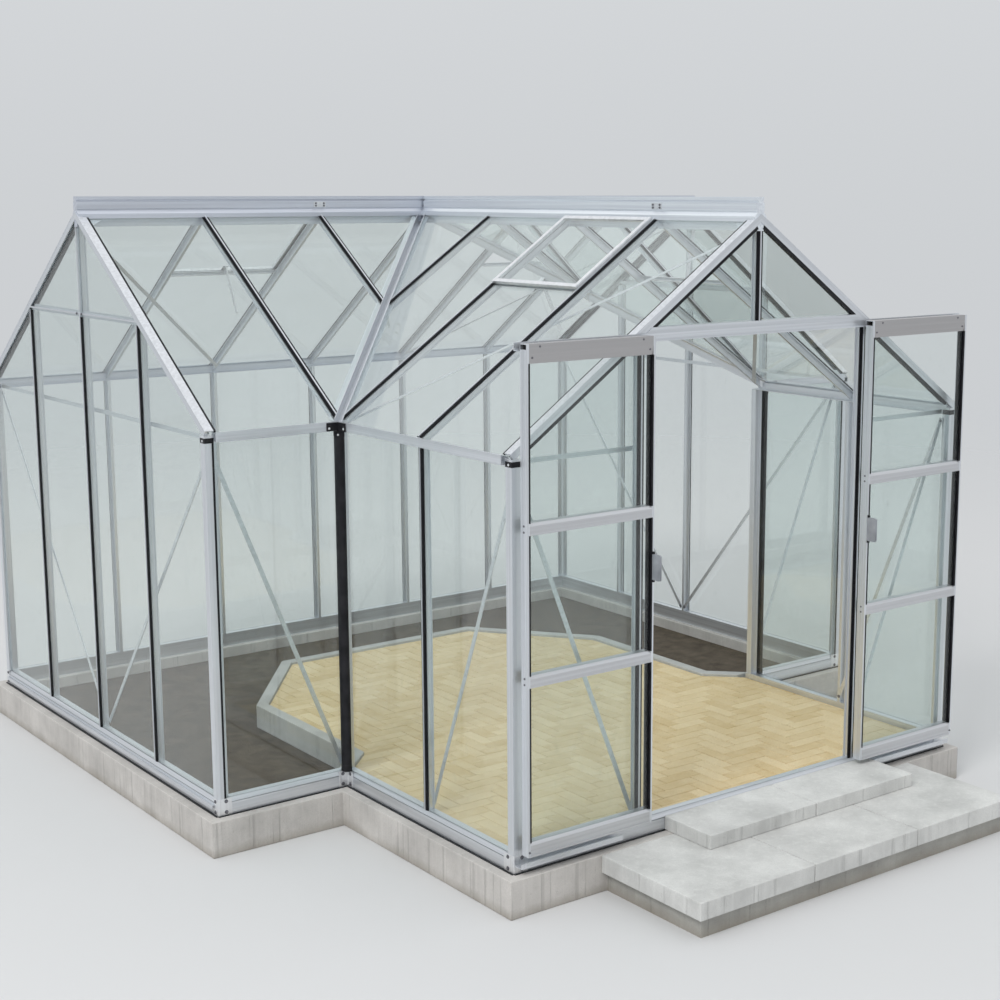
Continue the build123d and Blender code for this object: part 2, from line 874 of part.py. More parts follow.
brace_high = UP * (bar_top - brace_width)
brace_low = UP * (wall_foot + brace_width)
with BuildPart() as wall_braces:
    reach = half - post_width
    gable = LEFT * (cross_end - inside)
    for way in (FRONT, BACK):
        foot = gable + way * brace_width / 2 + brace_low
        flat_bar(gable + way * reach + brace_high, foot, RIGHT)
    wing = FRONT * (wall - inside)
    wing_start = wing + LEFT * (half + module - post_width) + brace_high
    flat_bar(wing_start, wing + LEFT * half + brace_low, BACK)
    stem = LEFT * (wall - inside)
    stem_start = stem + FRONT * (half + 2 * module - post_width) + brace_high
    flat_bar(stem_start, stem + FRONT * (half + module) + brace_low, RIGHT)
    front = FRONT * (stem_end - inside)
    flat_bar(front + LEFT * reach + brace_high, front + LEFT * module + brace_low, BACK)
    mirror(about=Plane.YZ)
wall_braces.part.label = "wall_braces"
export_step(wall_braces.part, "parts/wall_braces.step")


def under_roof(outward, run, place):
    """Point just under the feet of the rafters, at a distance from the ridge."""
    normal = outward * sin(slope) + UP * cos(slope)
    return outward * run + level(outward) * place + UP * roof_height(run) - normal * bar_depth


with BuildPart() as roof_braces:
    high_run = 3 * ridge_half
    low_run = wall - bar_depth
    start = under_roof(LEFT, low_run, -half)
    end = under_roof(LEFT, high_run, -stem_end + post_width)
    flat_bar(start, end, RIGHT * sin(slope) - UP * cos(slope))
    start = under_roof(BACK, high_run, -cross_end + post_width)
    end = under_roof(BACK, low_run, -module)
    flat_bar(start, end, FRONT * sin(slope) - UP * cos(slope))
    mirror(about=Plane.YZ)
roof_braces.part.label = "roof_braces"
export_step(roof_braces.part, "parts/roof_braces.step")

# Glass of the walls
far_edge = half - corner_glass


def one_gable_glass(outward):
    """The panes of one side gable."""
    low_top = crossbar - glass_edge
    for hand in (1, -1):
        gable_pane(outward, cross_end, module + glass_edge, far_edge, glass_low, hand)
        start, end = sorted((hand * glass_edge, hand * (module - glass_edge)))
        wall_pane(outward, cross_end, start, end, glass_low, low_top)
        gable_pane(outward, cross_end, glass_edge, module, crossbar + glass_edge, hand)


with BuildPart() as side_gable_glass:
    for outward in (LEFT, RIGHT):
        one_gable_glass(outward)
    add(cross_ridge.part, mode=Mode.SUBTRACT)
side_gable_glass.part.label = "side_gable_glass"
export_step(side_gable_glass.part, "parts/side_gable_glass.step")

with BuildPart() as front_gable_glass:
    for hand in (1, -1):
        gable_pane(FRONT, stem_end, module + glass_edge, far_edge, glass_low, hand)
        gable_pane(FRONT, stem_end, glass_edge, module, header_top, hand)
    add(stem_ridge.part, mode=Mode.SUBTRACT)
front_gable_glass.part.label = "front_gable_glass"
export_step(front_gable_glass.part, "parts/front_gable_glass.step")

wing_edge = half + module - corner_glass
inner_edge = wall + glass_edge
with BuildPart() as back_glass:
    for count in range(-2, 2):
        start = count * module + glass_edge
        wall_pane(BACK, wall, start, start + module - 2 * glass_edge, glass_low, glass_high)
    wall_pane(BACK, wall, -wing_edge, -half - glass_edge, glass_low, glass_high)
    wall_pane(BACK, wall, half + glass_edge, wing_edge, glass_low, glass_high)
back_glass.part.label = "back_glass"
export_step(back_glass.part, "parts/back_glass.step")

with BuildPart() as wing_glass:
    wall_pane(FRONT, wall, -wing_edge, -inner_edge, glass_low, glass_high)
    wall_pane(FRONT, wall, inner_edge, wing_edge, glass_low, glass_high)
wing_glass.part.label = "wing_glass"
export_step(wing_glass.part, "parts/wing_glass.step")

with BuildPart() as stem_side_glass:
    middle = -half - module
    front_edge = -half - 2 * module + corner_glass
    for outward in (LEFT, RIGHT):
        wall_pane(outward, wall, front_edge, middle - glass_edge, glass_low, glass_high)
        wall_pane(outward, wall, middle + glass_edge, -inner_edge, glass_low, glass_high)
stem_side_glass.part.label = "stem_side_glass"
export_step(stem_side_glass.part, "parts/stem_side_glass.step")

# Glass of the roof
vent_glass_start = vent_run + glass_edge
with BuildPart() as back_roof_glass:
    for count in range(-2, 2):
        start = count * module + glass_edge
        top = vent_glass_start if count in (-2, 1) else roof_start
        roof_pane(BACK, start, start + module - 2 * glass_edge, top, roof_end)
    roof_pane(BACK, verge_edge - cross_end, -half - glass_edge, roof_start, roof_end)
    roof_pane(BACK, half + glass_edge, cross_end - verge_edge, roof_start, roof_end)
back_roof_glass.part.label = "back_roof_glass"
export_step(back_roof_glass.part, "parts/back_roof_glass.step")

with BuildPart() as front_roof_glass:
    for count in range(2):
        start = count * module + glass_edge
        roof_pane(FRONT, start, start + module - 2 * glass_edge, roof_start, roof_end)
    roof_pane(FRONT, half + glass_edge, cross_end - verge_edge, roof_start, roof_end)
    mirror(about=Plane.YZ)
    cut_stem_sector(valley_half + glass_clear)
front_roof_glass.part.label = "front_roof_glass"
export_step(front_roof_glass.part, "parts/front_roof_glass.step")

with BuildPart() as stem_roof_glass:
    for count in range(3):
        end = -count * module - glass_edge
        top = vent_glass_start if count == 2 else roof_start
        roof_pane(LEFT, end - module + 2 * glass_edge, end, top, roof_end)
    roof_pane(LEFT, verge_edge - stem_end, -half - module - glass_edge, roof_start, roof_end)
    mirror(about=Plane.YZ)
    cut_cross_sector(valley_half + glass_clear)
stem_roof_glass.part.label = "stem_roof_glass"
export_step(stem_roof_glass.part, "parts/stem_roof_glass.step")

# Capping strips on the glass beside every bar
with BuildPart() as wall_seals:
    for outward in (LEFT, RIGHT):
        for place in (-module, module):
            upright(seal_section, outward, cross_end, place, wall_foot, crossbar_foot)
        upright(seal_section, outward, cross_end, 0, wall_foot, crossbar_foot)
        trim_gable(outward, cross_end, verge_face)
        upright(seal_section, outward, wall, -half - module, wall_foot, bar_top)
    for count in range(-2, 3):
        upright(seal_section, BACK, wall, count * module, wall_foot, bar_top)
    for place in (-module, module):
        upright(seal_section, FRONT, stem_end, place, wall_foot, header_foot)
    upright(seal_section, FRONT, stem_end, 0, header_top, apex - ridge_depth)
    trim_gable(FRONT, stem_end, verge_face)
wall_seals.part.label = "wall_seals"
export_step(wall_seals.part, "parts/wall_seals.step")

seal_start = ridge_lip_reach + glass_clear
with BuildPart() as cross_roof_seals:
    for place in (-half, -module, module, half):
        rafter(seal_section, FRONT, place, seal_start, roof_end)
    cut_stem_sector(valley_half)
    for count in range(-2, 3):
        rafter(seal_section, BACK, count * module, seal_start, roof_end)
cross_roof_seals.part.label = "cross_roof_seals"
export_step(cross_roof_seals.part, "parts/cross_roof_seals.step")

with BuildPart() as stem_roof_seals:
    for outward in (LEFT, RIGHT):
        for place in (-module, -half, -half - module):
            rafter(seal_section, outward, place, seal_start, roof_end)
    cut_cross_sector(valley_half)
stem_roof_seals.part.label = "stem_roof_seals"
export_step(stem_roof_seals.part, "parts/stem_roof_seals.step")

# Roof vents: two shut on the left, two held open on the right
vent_length = (vent_run - vent_hinge_run) / cos(slope) + vent_overlap
vent_width = module - rib_width - 2 * vent_side_gap


def vent_plane(outward, place, tilt):
    """Plane of a vent at its hinge: y up the vent, z out of it."""
    lift = outward * sin(slope) + UP * cos(slope)
    origin = outward * vent_hinge_run + level(outward) * place
    origin = origin + UP * roof_height(vent_hinge_run) + lift * vent_lift
    normal = outward * sin(slope - tilt) + UP * cos(slope - tilt)
    return Plane(origin=origin, x_dir=UP.cross(outward), z_dir=normal)


def vents():
    """Way each vent faces, the middle of its bay and its tilt."""
    yield LEFT, -half - module / 2, 0
    yield BACK, -half + module / 2, 0
    yield RIGHT, -half - module / 2, vent_tilt
    yield BACK, half - module / 2, vent_tilt


with BuildPart() as vent_frames:
    for outward, place, tilt in vents():
        with BuildSketch(vent_plane(outward, place, tilt)) as vent_sketch:
            block(-vent_width / 2, vent_width / 2, -vent_length, 0)
            inner = vent_width / 2 - vent_bar
            block(-inner, inner, vent_bar - vent_length, -vent_bar, mode=Mode.SUBTRACT)
        extrude(vent_sketch.sketch, amount=vent_thick)
vent_frames.part.label = "vent_frames"
export_step(vent_frames.part, "parts/vent_frames.step")

with BuildPart() as vent_glass:
    for outward, place, tilt in vents():
        pane_plane = vent_plane(outward, place, tilt).offset(vent_thick / 2)
        with BuildSketch(pane_plane) as vent_sketch:
            inner = vent_width / 2 - vent_bar
            block(-inner, inner, vent_bar - vent_length, -vent_bar)
        extrude(vent_sketch.sketch, amount=glass)
vent_glass.part.label = "vent_glass"
export_step(vent_glass.part, "parts/vent_glass.step")

with BuildPart() as vent_sills:
    for outward, place, tilt in vents():
        start = place - module / 2 + flange_width / 2
        normal = outward * sin(slope) + UP * cos(slope)
        origin = outward * vent_run + level(outward) * start + UP * roof_height(vent_run)
        sill_plane = Plane(origin=origin, x_dir=normal.cross(level(outward)), z_dir=level(outward))
        with BuildSketch(sill_plane) as sill_sketch:
            block(-flange_width / 2, flange_width / 2, -glass - flange_thick, -glass)
            block(-web_thick / 2, web_thick / 2, -bar_depth / 2, -glass)
            block(-rib_width / 2, rib_width / 2, -glass, seal_edge)
        extrude(sill_sketch.sketch, amount=module - flange_width)
vent_sills.part.label = "vent_sills"
export_step(vent_sills.part, "parts/vent_sills.step")


def stay_bar(start, end, normal):
    """One slotted stay whose middle line joins two points."""
    reach = end - start
    with BuildSketch(Plane(origin=(start + end) * 0.5, x_dir=reach, z_dir=normal)) as sketch:
        Rectangle(reach.length, stay_width)
        with GridLocations(stay_slot_pitch, 0, stay_slots, 1):
            SlotOverall(stay_slot_long, stay_slot_wide, mode=Mode.SUBTRACT)
    extrude(sketch.sketch, amount=stay_thick)


with BuildPart() as vent_stays:
    for outward, place, tilt in vents():
        hinge = vent_plane(outward, place, tilt)
        half_width = stay_width / 2
        low = stay_bracket_low - vent_length
        high = stay_bracket_high - vent_length
        with BuildSketch(hinge) as stay_sketch:
            block(-half_width, half_width, low, high)
        extrude(stay_sketch.sketch, amount=-stay_thick)
        start = hinge.origin - hinge.y_dir * (vent_length - stay_inset)
        start = start - hinge.z_dir * stay_thick / 2
        lean = slope - radians(stay_lean)
        end = start - (outward * sin(lean) + UP * cos(lean)) * stay_length
        if tilt:
            end = slope_plane(outward, place, vent_run, seal_edge).origin
        stay_bar(start, end, level(outward))
    add(vent_frames.part, mode=Mode.SUBTRACT)
    add(vent_sills.part, mode=Mode.SUBTRACT)
vent_stays.part.label = "vent_stays"
export_step(vent_stays.part, "parts/vent_stays.step")

# Sliding doors, both slid open in front of the outer bays
door_back = stem_end + post_proud + door_stand_off
door_front = door_back + door_thick
door_high = door_top - plinth_height


def pane_spans(top):
    """Lowest and highest point of each pane of a door, with the last one ending at a height."""
    low = door_low + door_bottom_rail
    for middle in door_rail_heights:
        yield low, middle - door_rail / 2
        low = middle + door_rail / 2
    yield low, top


def stile_edges():
    """Both edges of a door, each with the way from it toward the glass."""
    yield door_inner_edge, 1
    yield door_outer_edge, -1


def top_rail_section():
    """Section of a door's top rail: x up from the top, y outward. An open box and a folded board."""
    block(-door_box, 0, -door_thick, 0)
    inside = door_wall - door_thick
    block(door_wall - door_box, -door_wall, inside, -door_wall, mode=Mode.SUBTRACT)
    Polygon(
        (0, 0),
        (-door_fold, 0),
        (-door_top_board, -door_set_back),
        (-door_top_board, -door_set_back - door_wall),
        (-door_fold, -door_wall),
        (0, -door_wall),
        align=None,
    )


def bevelled(height):
    """Section of a box rail of a door: x up, y outward, with the upper front edge bevelled."""
    bevel = height - door_rail_bevel
    Polygon(
        (0, -door_thick),
        (0, 0),
        (bevel, 0),
        (height, -door_bevel_depth),
        (height, -door_thick),
        align=None,
    )
    low = door_wall
    inside = door_wall - door_thick
    block(low, bevel - door_wall, inside, -door_wall, mode=Mode.SUBTRACT)


def middle_rail_section():
    """Section of a middle rail of a door."""
    bevelled(door_rail)


def bottom_rail_section():
    """Section of the bottom rail of a door, with a lip along its lower edge."""
    bevelled(door_bottom_rail)
    block(0, door_lip_high, -door_wall, door_lip_reach)


def door_bar(section, hand, low, inset):
    """One level rail of a door, its ends set in from the door's edges."""
    start, end = sorted((hand * (door_inner_edge + inset), hand * (door_outer_edge - inset)))
    level_bar(section, FRONT, door_front, plinth_height + low, start, end)


def door_frame(hand):
    """Frame of one door: two stiles, a top rail, two middle rails and a bottom rail."""
    with BuildSketch(Plane.XY.offset(plinth_height + door_low)) as sketch:
        for edge, way in stile_edges():
            inner = hand * (edge + way * door_stile)
            block(hand * edge, inner, -door_front, -door_back)
            for depth in door_groove_places:
                groove = hand * (edge + way * door_groove / 2)
                low = -door_front + depth
                block(hand * edge, groove, low, low + door_groove, mode=Mode.SUBTRACT)
    extrude(sketch.sketch, amount=door_high - door_low - door_box)
    door_bar(top_rail_section, hand, door_high, 0)
    for middle in door_rail_heights:
        door_bar(middle_rail_section, hand, middle - door_rail / 2, door_stile)
    door_bar(bottom_rail_section, hand, door_low, door_stile)


def door_panes(hand):
    """The three panes of one door, each filling its place in the frame."""
    with BuildSketch(wall_plane(FRONT, door_front - door_glass_set, 0, plinth_height)) as sketch:
        for low, high in pane_spans(door_high - door_box):
            inner = hand * (door_inner_edge + door_stile)
            block(inner, hand * (door_outer_edge - door_stile), low, high)
    extrude(sketch.sketch, amount=-glass)


def door_seals(hand):
    """Black strips along both stiles of one door, in front of its panes and behind them."""
    outside = door_front - door_glass_set
    for low, high in pane_spans(door_high - door_top_board):
        with BuildSketch(Plane.XY.offset(plinth_height + low)) as sketch:
            for edge, way in stile_edges():
                inner = edge + way * door_stile
                front_edge = hand * (inner + way * door_seal_width)
                back_edge = hand * (inner + way * door_seal_thick)
                block(hand * inner, front_edge, -outside - door_seal_thick, -outside)
                block(hand * inner, back_edge, glass - outside, -door_back - door_back_lip)
        extrude(sketch.sketch, amount=high - low)


def door_handle(hand):
    """Pull handle standing out from the stile where the doors meet: a plate with round corners."""
    place = LEFT * -hand * (door_inner_edge + handle_inset) + FRONT * door_front
    side_plane = Plane(origin=place + UP * plinth_height, x_dir=FRONT, z_dir=LEFT)
    with BuildSketch(side_plane) as sketch:
        block(0, handle_reach / 2, handle_low, handle_high)
        with Locations((handle_reach / 2, (handle_low + handle_high) / 2)):
            RectangleRounded(handle_reach, handle_high - handle_low, handle_round)
    extrude(sketch.sketch, amount=-hand * handle_thick)


def door_hangers(hand):
    """Two hangers with rollers behind the top rail of one door."""
    roller_height = header_foot + shelf_thick + roller_clearance + roller_radius
    for inset in (hanger_inset, door_width - hanger_inset):
        place = hand * (door_inner_edge + inset)
        with BuildSketch(wall_plane(FRONT, door_back, place, roller_height)) as sketch:
            block(-hanger_width / 2, hanger_width / 2, -roller_radius, roller_radius)
        extrude(sketch.sketch, amount=-hanger_thick)
        behind = door_back - hanger_thick
        with BuildSketch(wall_plane(FRONT, behind, place, roller_height)) as sketch:
            Circle(roller_radius)
        extrude(sketch.sketch, amount=-roller_width)


with BuildPart() as left_door_frame:
    door_frame(-1)
left_door_frame.part.label = "left_door_frame"
export_step(left_door_frame.part, "parts/left_door_frame.step")

with BuildPart() as left_door_glass:
    door_panes(-1)
left_door_glass.part.label = "left_door_glass"
export_step(left_door_glass.part, "parts/left_door_glass.step")

with BuildPart() as left_door_seals:
    door_seals(-1)
left_door_seals.part.label = "left_door_seals"
export_step(left_door_seals.part, "parts/left_door_seals.step")

with BuildPart() as left_door_handle:
    door_handle(-1)
left_door_handle.part.label = "left_door_handle"
export_step(left_door_handle.part, "parts/left_door_handle.step")

with BuildPart() as left_door_hangers:
    door_hangers(-1)
left_door_hangers.part.label = "left_door_hangers"
export_step(left_door_hangers.part, "parts/left_door_hangers.step")

with BuildPart() as right_door_frame:
    door_frame(1)
right_door_frame.part.label = "right_door_frame"
export_step(right_door_frame.part, "parts/right_door_frame.step")

with BuildPart() as right_door_glass:
    door_panes(1)
right_door_glass.part.label = "right_door_glass"
export_step(right_door_glass.part, "parts/right_door_glass.step")

with BuildPart() as right_door_seals:
    door_seals(1)
right_door_seals.part.label = "right_door_seals"
export_step(right_door_seals.part, "parts/right_door_seals.step")

with BuildPart() as right_door_handle:
    door_handle(1)
right_door_handle.part.label = "right_door_handle"
export_step(right_door_handle.part, "parts/right_door_handle.step")

with BuildPart() as right_door_hangers:
    door_hangers(1)
right_door_hangers.part.label = "right_door_hangers"
export_step(right_door_hangers.part, "parts/right_door_hangers.step")
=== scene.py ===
"""Looks of the glass greenhouse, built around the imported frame. Lengths are in metres."""

from math import cos, pi, radians, sin, sqrt, tan

import bmesh
import bpy
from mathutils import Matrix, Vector


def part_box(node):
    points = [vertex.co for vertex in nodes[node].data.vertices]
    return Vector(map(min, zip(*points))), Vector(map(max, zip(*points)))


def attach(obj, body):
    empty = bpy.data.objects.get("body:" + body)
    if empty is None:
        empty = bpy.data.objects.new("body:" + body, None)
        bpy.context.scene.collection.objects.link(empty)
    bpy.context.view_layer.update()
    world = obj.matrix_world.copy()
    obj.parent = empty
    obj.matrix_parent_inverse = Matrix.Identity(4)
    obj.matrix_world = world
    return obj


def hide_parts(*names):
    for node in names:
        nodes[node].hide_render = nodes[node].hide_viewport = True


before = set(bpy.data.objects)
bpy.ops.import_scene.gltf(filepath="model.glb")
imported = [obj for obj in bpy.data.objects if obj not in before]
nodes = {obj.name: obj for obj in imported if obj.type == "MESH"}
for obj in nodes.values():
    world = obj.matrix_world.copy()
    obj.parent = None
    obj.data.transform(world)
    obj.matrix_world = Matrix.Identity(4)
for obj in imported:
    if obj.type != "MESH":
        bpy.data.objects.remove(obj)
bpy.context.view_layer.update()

# Plan of the house: one bay, half the stem's width, and how far the side and front gables lie out
MODULE = 0.6425
HALF = 2 * MODULE
SIDE_END = HALF + MODULE
FRONT_END = HALF + 2 * MODULE
PROUD = 0.008
WALL = HALF - PROUD

# Heights of the ground works, and the plinth's reach on both sides of the plan's line
GROUND_TOP = 0.160
FLOOR_TOP = 0.208
BED_LEVEL, SAND_TOP = 0.100, 0.203
PLINTH_OUT, PLINTH_IN = 0.055, 0.075
PLINTH_INSIDE = HALF - PLINTH_IN

# Base rail, glazing bars and doors
RAIL_HIGH, RAIL_DEEP = 0.076, 0.038
RAIL_INSIDE = 1.239
PITCH = radians(34.6)
RIB_PROUD, PANE = 0.009, 0.004
DOOR_FRONT = 2.636
DOOR_INNER, DOOR_OUTER = 0.628, 1.262
DOOR_STILE = 0.012
BOARD_LOW = 2.1857

UP = Vector((0, 0, 1))
RIGHT = Vector((1, 0, 0))
FRONT, BACK = Vector((0, -1, 0)), Vector((0, 1, 0))

# Materials
NODE_GAP = 220
LINE_STRETCH, STRIP_STRETCH = 0.01, 0.03
METAL = 0.85


class Graph:
    """A material's node tree, built step by step."""

    def __init__(self, name):
        self.material = bpy.data.materials.new(name)
        self.material.use_nodes = True
        self.tree = self.material.node_tree
        self.tree.nodes.clear()
        self.count = 0

    def node(self, kind, inputs=None, **settings):
        """A new node, with each input set to a value or linked to another node's socket."""
        made = self.tree.nodes.new(kind)
        made.location = (self.count * NODE_GAP, 0)
        self.count += 1
        for key, value in settings.items():
            setattr(made, key, value)
        for key, value in (inputs or {}).items():
            if isinstance(value, bpy.types.NodeSocket):
                self.tree.links.new(value, made.inputs[key])
            else:
                made.inputs[key].default_value = value
        return made

    def place(self):
        """Place on the part, in metres."""
        return self.node("ShaderNodeTexCoord").outputs["Object"]

    def split(self, vector):
        """The three sides of a vector."""
        return self.node("ShaderNodeSeparateXYZ", {0: vector}).outputs

    def math(self, operation, first, second=0.0, third=0.0):
        inputs = {0: first, 1: second, 2: third}
        return self.node("ShaderNodeMath", inputs, operation=operation).outputs[0]

    def scaled(self, vector, factors):
        """A vector with each of its sides scaled."""
        made = self.node("ShaderNodeVectorMath", {0: vector, 1: factors}, operation="MULTIPLY")
        return made.outputs[0]

    def noise(self, vector, scale, detail=3.0, rough=0.5):
        inputs = {"Vector": vector, "Scale": scale, "Detail": detail, "Roughness": rough}
        return self.node("ShaderNodeTexNoise", inputs).outputs["Fac"]

    def spread(self, value, low, high, new_low=0.0, new_high=1.0):
        """A value's range from low to high, spread over a new range and clamped."""
        inputs = {"Value": value, 1: low, 2: high, 3: new_low, 4: new_high}
        return self.node("ShaderNodeMapRange", inputs, clamp=True).outputs["Result"]

    def blend(self, factor, first, second):
        """A colour between two others, by a factor."""
        made = self.node("ShaderNodeMix", data_type="RGBA")
        for key, value in ((0, factor), (6, first), (7, second)):
            if isinstance(value, bpy.types.NodeSocket):
                self.tree.links.new(value, made.inputs[key])
            elif key == 0:
                made.inputs[key].default_value = value
            else:
                made.inputs[key].default_value = (*value, 1.0)
        return made.outputs[2]

    def bump(self, height, depth, strength=1.0):
        inputs = {"Height": height, "Distance": depth, "Strength": strength}
        return self.node("ShaderNodeBump", inputs).outputs["Normal"]

    def shader(self, colour, roughness, normal=None, **constants):
        made = self.node("ShaderNodeBsdfPrincipled")
        for key, value in (("Base Color", colour), ("Roughness", roughness), ("Normal", normal)):
            if isinstance(value, bpy.types.NodeSocket):
                self.tree.links.new(value, made.inputs[key])
            elif key == "Base Color":
                made.inputs[key].default_value = (*value, 1.0)
            elif value is not None:
                made.inputs[key].default_value = value
        for key, value in constants.items():
            made.inputs[key.replace("_", " ").title().replace("Ior", "IOR")].default_value = value
        return made.outputs[0]

    def finish(self, surface):
        self.node("ShaderNodeOutputMaterial", {"Surface": surface})
        return self.material


def times(tone, factor):
    """A tone made paler or darker."""
    return tuple(min(1.0, value * factor) for value in tone)


def folded(graph, sides):
    """Place with each side of the house that is named folded onto its mirror image."""
    split = graph.split(graph.place())
    parts = {}
    for number, axis in enumerate("XYZ"):
        value = split[number]
        parts[number] = graph.math("ABSOLUTE", value) if axis in sides else value
    return graph.node("ShaderNodeCombineXYZ", parts).outputs[0]


def along(graph, place, direction, stretch):
    """Place squeezed along a direction, so that noise read there runs in streaks."""
    way = Vector(direction).normalized()
    reach = graph.node("ShaderNodeVectorMath", {0: place, 1: way}, operation="DOT_PRODUCT")
    length = graph.math("MULTIPLY", reach.outputs["Value"], stretch - 1.0)
    inputs = {0: way, 3: length}
    offset = graph.node("ShaderNodeVectorMath", inputs, operation="SCALE").outputs[0]
    return graph.node("ShaderNodeVectorMath", {0: place, 1: offset}, operation="ADD").outputs[0]


def chosen(graph, factor, first, second):
    """One of two vectors, by a factor of 0 or 1."""
    made = graph.node("ShaderNodeMix", {0: factor, 4: first, 5: second}, data_type="VECTOR")
    return made.outputs[1]


def on_stiles(graph, place):
    """1 on the stiles of the doors, 0 on their level rails."""
    across = graph.split(place)[0]
    middle = (DOOR_INNER + DOOR_OUTER) / 2
    reach = (DOOR_OUTER - DOOR_INNER) / 2 - DOOR_STILE
    off = graph.math("ABSOLUTE", graph.math("SUBTRACT", graph.math("ABSOLUTE", across), middle))
    return graph.math("GREATER_THAN", off, reach)


# Level bars this near to a side wall's line run along Y, on the stem only ahead of its start
WALL_BAND, STEM_START = 0.05, 0.035


def along_y(graph, place):
    """1 where the walls of the plan run along Y, 0 where they run along X."""
    split = graph.split(place)
    out = graph.math("ABSOLUTE", split[0])
    gable = graph.math("GREATER_THAN", out, SIDE_END - WALL_BAND)
    stem = graph.math("GREATER_THAN", out, HALF - WALL_BAND)
    ahead = graph.math("LESS_THAN", split[1], -HALF - STEM_START)
    return graph.math("MAXIMUM", gable, graph.math("MULTIPLY", stem, ahead))


BOARD_DIM, RAIL_DIM = 0.80, 0.35
DIM_TONE = (0.42, 0.40, 0.395)


def on_boards(graph, place):
    """Strong on the boards along the top of the doors, weak on their other level rails."""
    board = graph.math("GREATER_THAN", graph.split(place)[2], BOARD_LOW)
    strength = graph.math("MULTIPLY_ADD", board, BOARD_DIM - RAIL_DIM, RAIL_DIM)
    return graph.math("MULTIPLY", strength, graph.math("SUBTRACT", 1.0, on_stiles(graph, place)))


MILL_TONE = (0.74, 0.765, 0.80)
WARMTH = (1.0, 0.975, 0.955)


def aluminium(name, direction, sides="", tone=MILL_TONE, other=None, where=None, dim=None):
    """Weathered mill-finish aluminium with fine extrusion lines along its bars' direction."""
    graph = Graph(name)
    place = folded(graph, sides)
    lines = along(graph, place, direction, LINE_STRETCH)
    if where:
        lines = chosen(graph, where(graph, place), lines, along(graph, place, other, LINE_STRETCH))
    streaks = graph.noise(lines, 420.0, 4.0, 0.6)
    bands = graph.noise(lines, 90.0, 2.0)
    clouds = graph.noise(place, 2.3, 5.0, 0.6)
    spots = graph.noise(place, 75.0, 4.0, 0.65)
    warm = tuple(value * factor for value, factor in zip(tone, WARMTH))
    colour = graph.blend(graph.spread(bands, 0.35, 0.68), times(tone, 0.9), times(tone, 1.07))
    colour = graph.blend(graph.spread(clouds, 0.48, 0.75, 0.0, 0.4), colour, warm)
    dull = graph.spread(spots, 0.6, 0.75, 0.0, 0.22)
    colour = graph.blend(dull, colour, times(tone, 0.8))
    if dim:
        colour = graph.blend(dim(graph, place), colour, DIM_TONE)
    rough = graph.spread(streaks, 0.3, 0.7, 0.3, 0.42)
    rough = graph.math("ADD", rough, graph.math("MULTIPLY", dull, 0.35))
    normal = graph.bump(streaks, 0.0003, 0.3)
    return graph.finish(graph.shader(colour, rough, normal, metallic=METAL))


def rubber(name, direction, sides=""):
    """Black capping strip, dusty along its length."""
    graph = Graph(name)
    place = folded(graph, sides)
    streaks = graph.noise(along(graph, place, direction, STRIP_STRETCH), 130.0, 3.0)
    clouds = graph.noise(place, 5.0, 5.0, 0.65)
    dust = graph.math("MULTIPLY", graph.spread(streaks, 0.45, 0.75), graph.spread(clouds, 0.4, 0.7))
    colour = graph.blend(graph.math("MULTIPLY", dust, 0.22), (0.005, 0.005, 0.007), (0.06, 0.06, 0.06))
    rough = graph.spread(streaks, 0.3, 0.7, 0.45, 0.65)
    normal = graph.bump(streaks, 0.0005, 0.4)
    return graph.finish(graph.shader(colour, rough, normal, specular_ior_level=0.15))


def plastic(name, tone, gloss):
    """Moulded plastic with a fine grain."""
    graph = Graph(name)
    place = graph.place()
    grain = graph.noise(place, 900.0, 2.0)
    clouds = graph.noise(place, 14.0, 4.0)
    worn = tuple(value * 1.5 + 0.01 for value in tone)
    colour = graph.blend(graph.spread(clouds, 0.35, 0.7), tone, worn)
    rough = graph.spread(grain, 0.3, 0.7, 0.38, 0.56)
    normal = graph.bump(grain, 0.0004, 0.5)
    return graph.finish(graph.shader(colour, rough, normal, specular_ior_level=gloss))


def window_glass(name):
    """Clear pane with a thin film of dust and dried drops."""
    graph = Graph(name)
    place = graph.place()
    clouds = graph.noise(place, 2.3, 2.0, 0.6)
    drops = graph.noise(graph.scaled(place, (1.0, 1.0, 0.35)), 46.0, 2.0, 0.7)
    film = graph.math("MULTIPLY", graph.spread(clouds, 0.35, 0.8), 0.03)
    spots = graph.math("MULTIPLY", graph.spread(drops, 0.62, 0.78), 0.05)
    dust = graph.math("ADD", graph.math("ADD", film, spots), 0.008)
    gloss = graph.node("ShaderNodeBsdfGlossy", {"Color": (1, 1, 1, 1), "Roughness": 0.03})
    clear = graph.node("ShaderNodeBsdfTransparent", {"Color": (0.955, 0.975, 0.97, 1)})
    facing = graph.node("ShaderNodeLayerWeight").outputs["Facing"]
    shine = graph.math("MULTIPLY_ADD", graph.math("POWER", facing, 5.0), 0.9, 0.035)
    pane = graph.node("ShaderNodeMixShader", {0: shine, 1: clear.outputs[0], 2: gloss.outputs[0]})
    matt = graph.node("ShaderNodeBsdfDiffuse", {"Color": (0.62, 0.66, 0.66, 1)})
    dusty = graph.node("ShaderNodeMixShader", {0: dust, 1: pane.outputs[0], 2: matt.outputs[0]})
    return graph.finish(dusty.outputs[0])


DAMP_EARTH = (0.26, 0.23, 0.185)


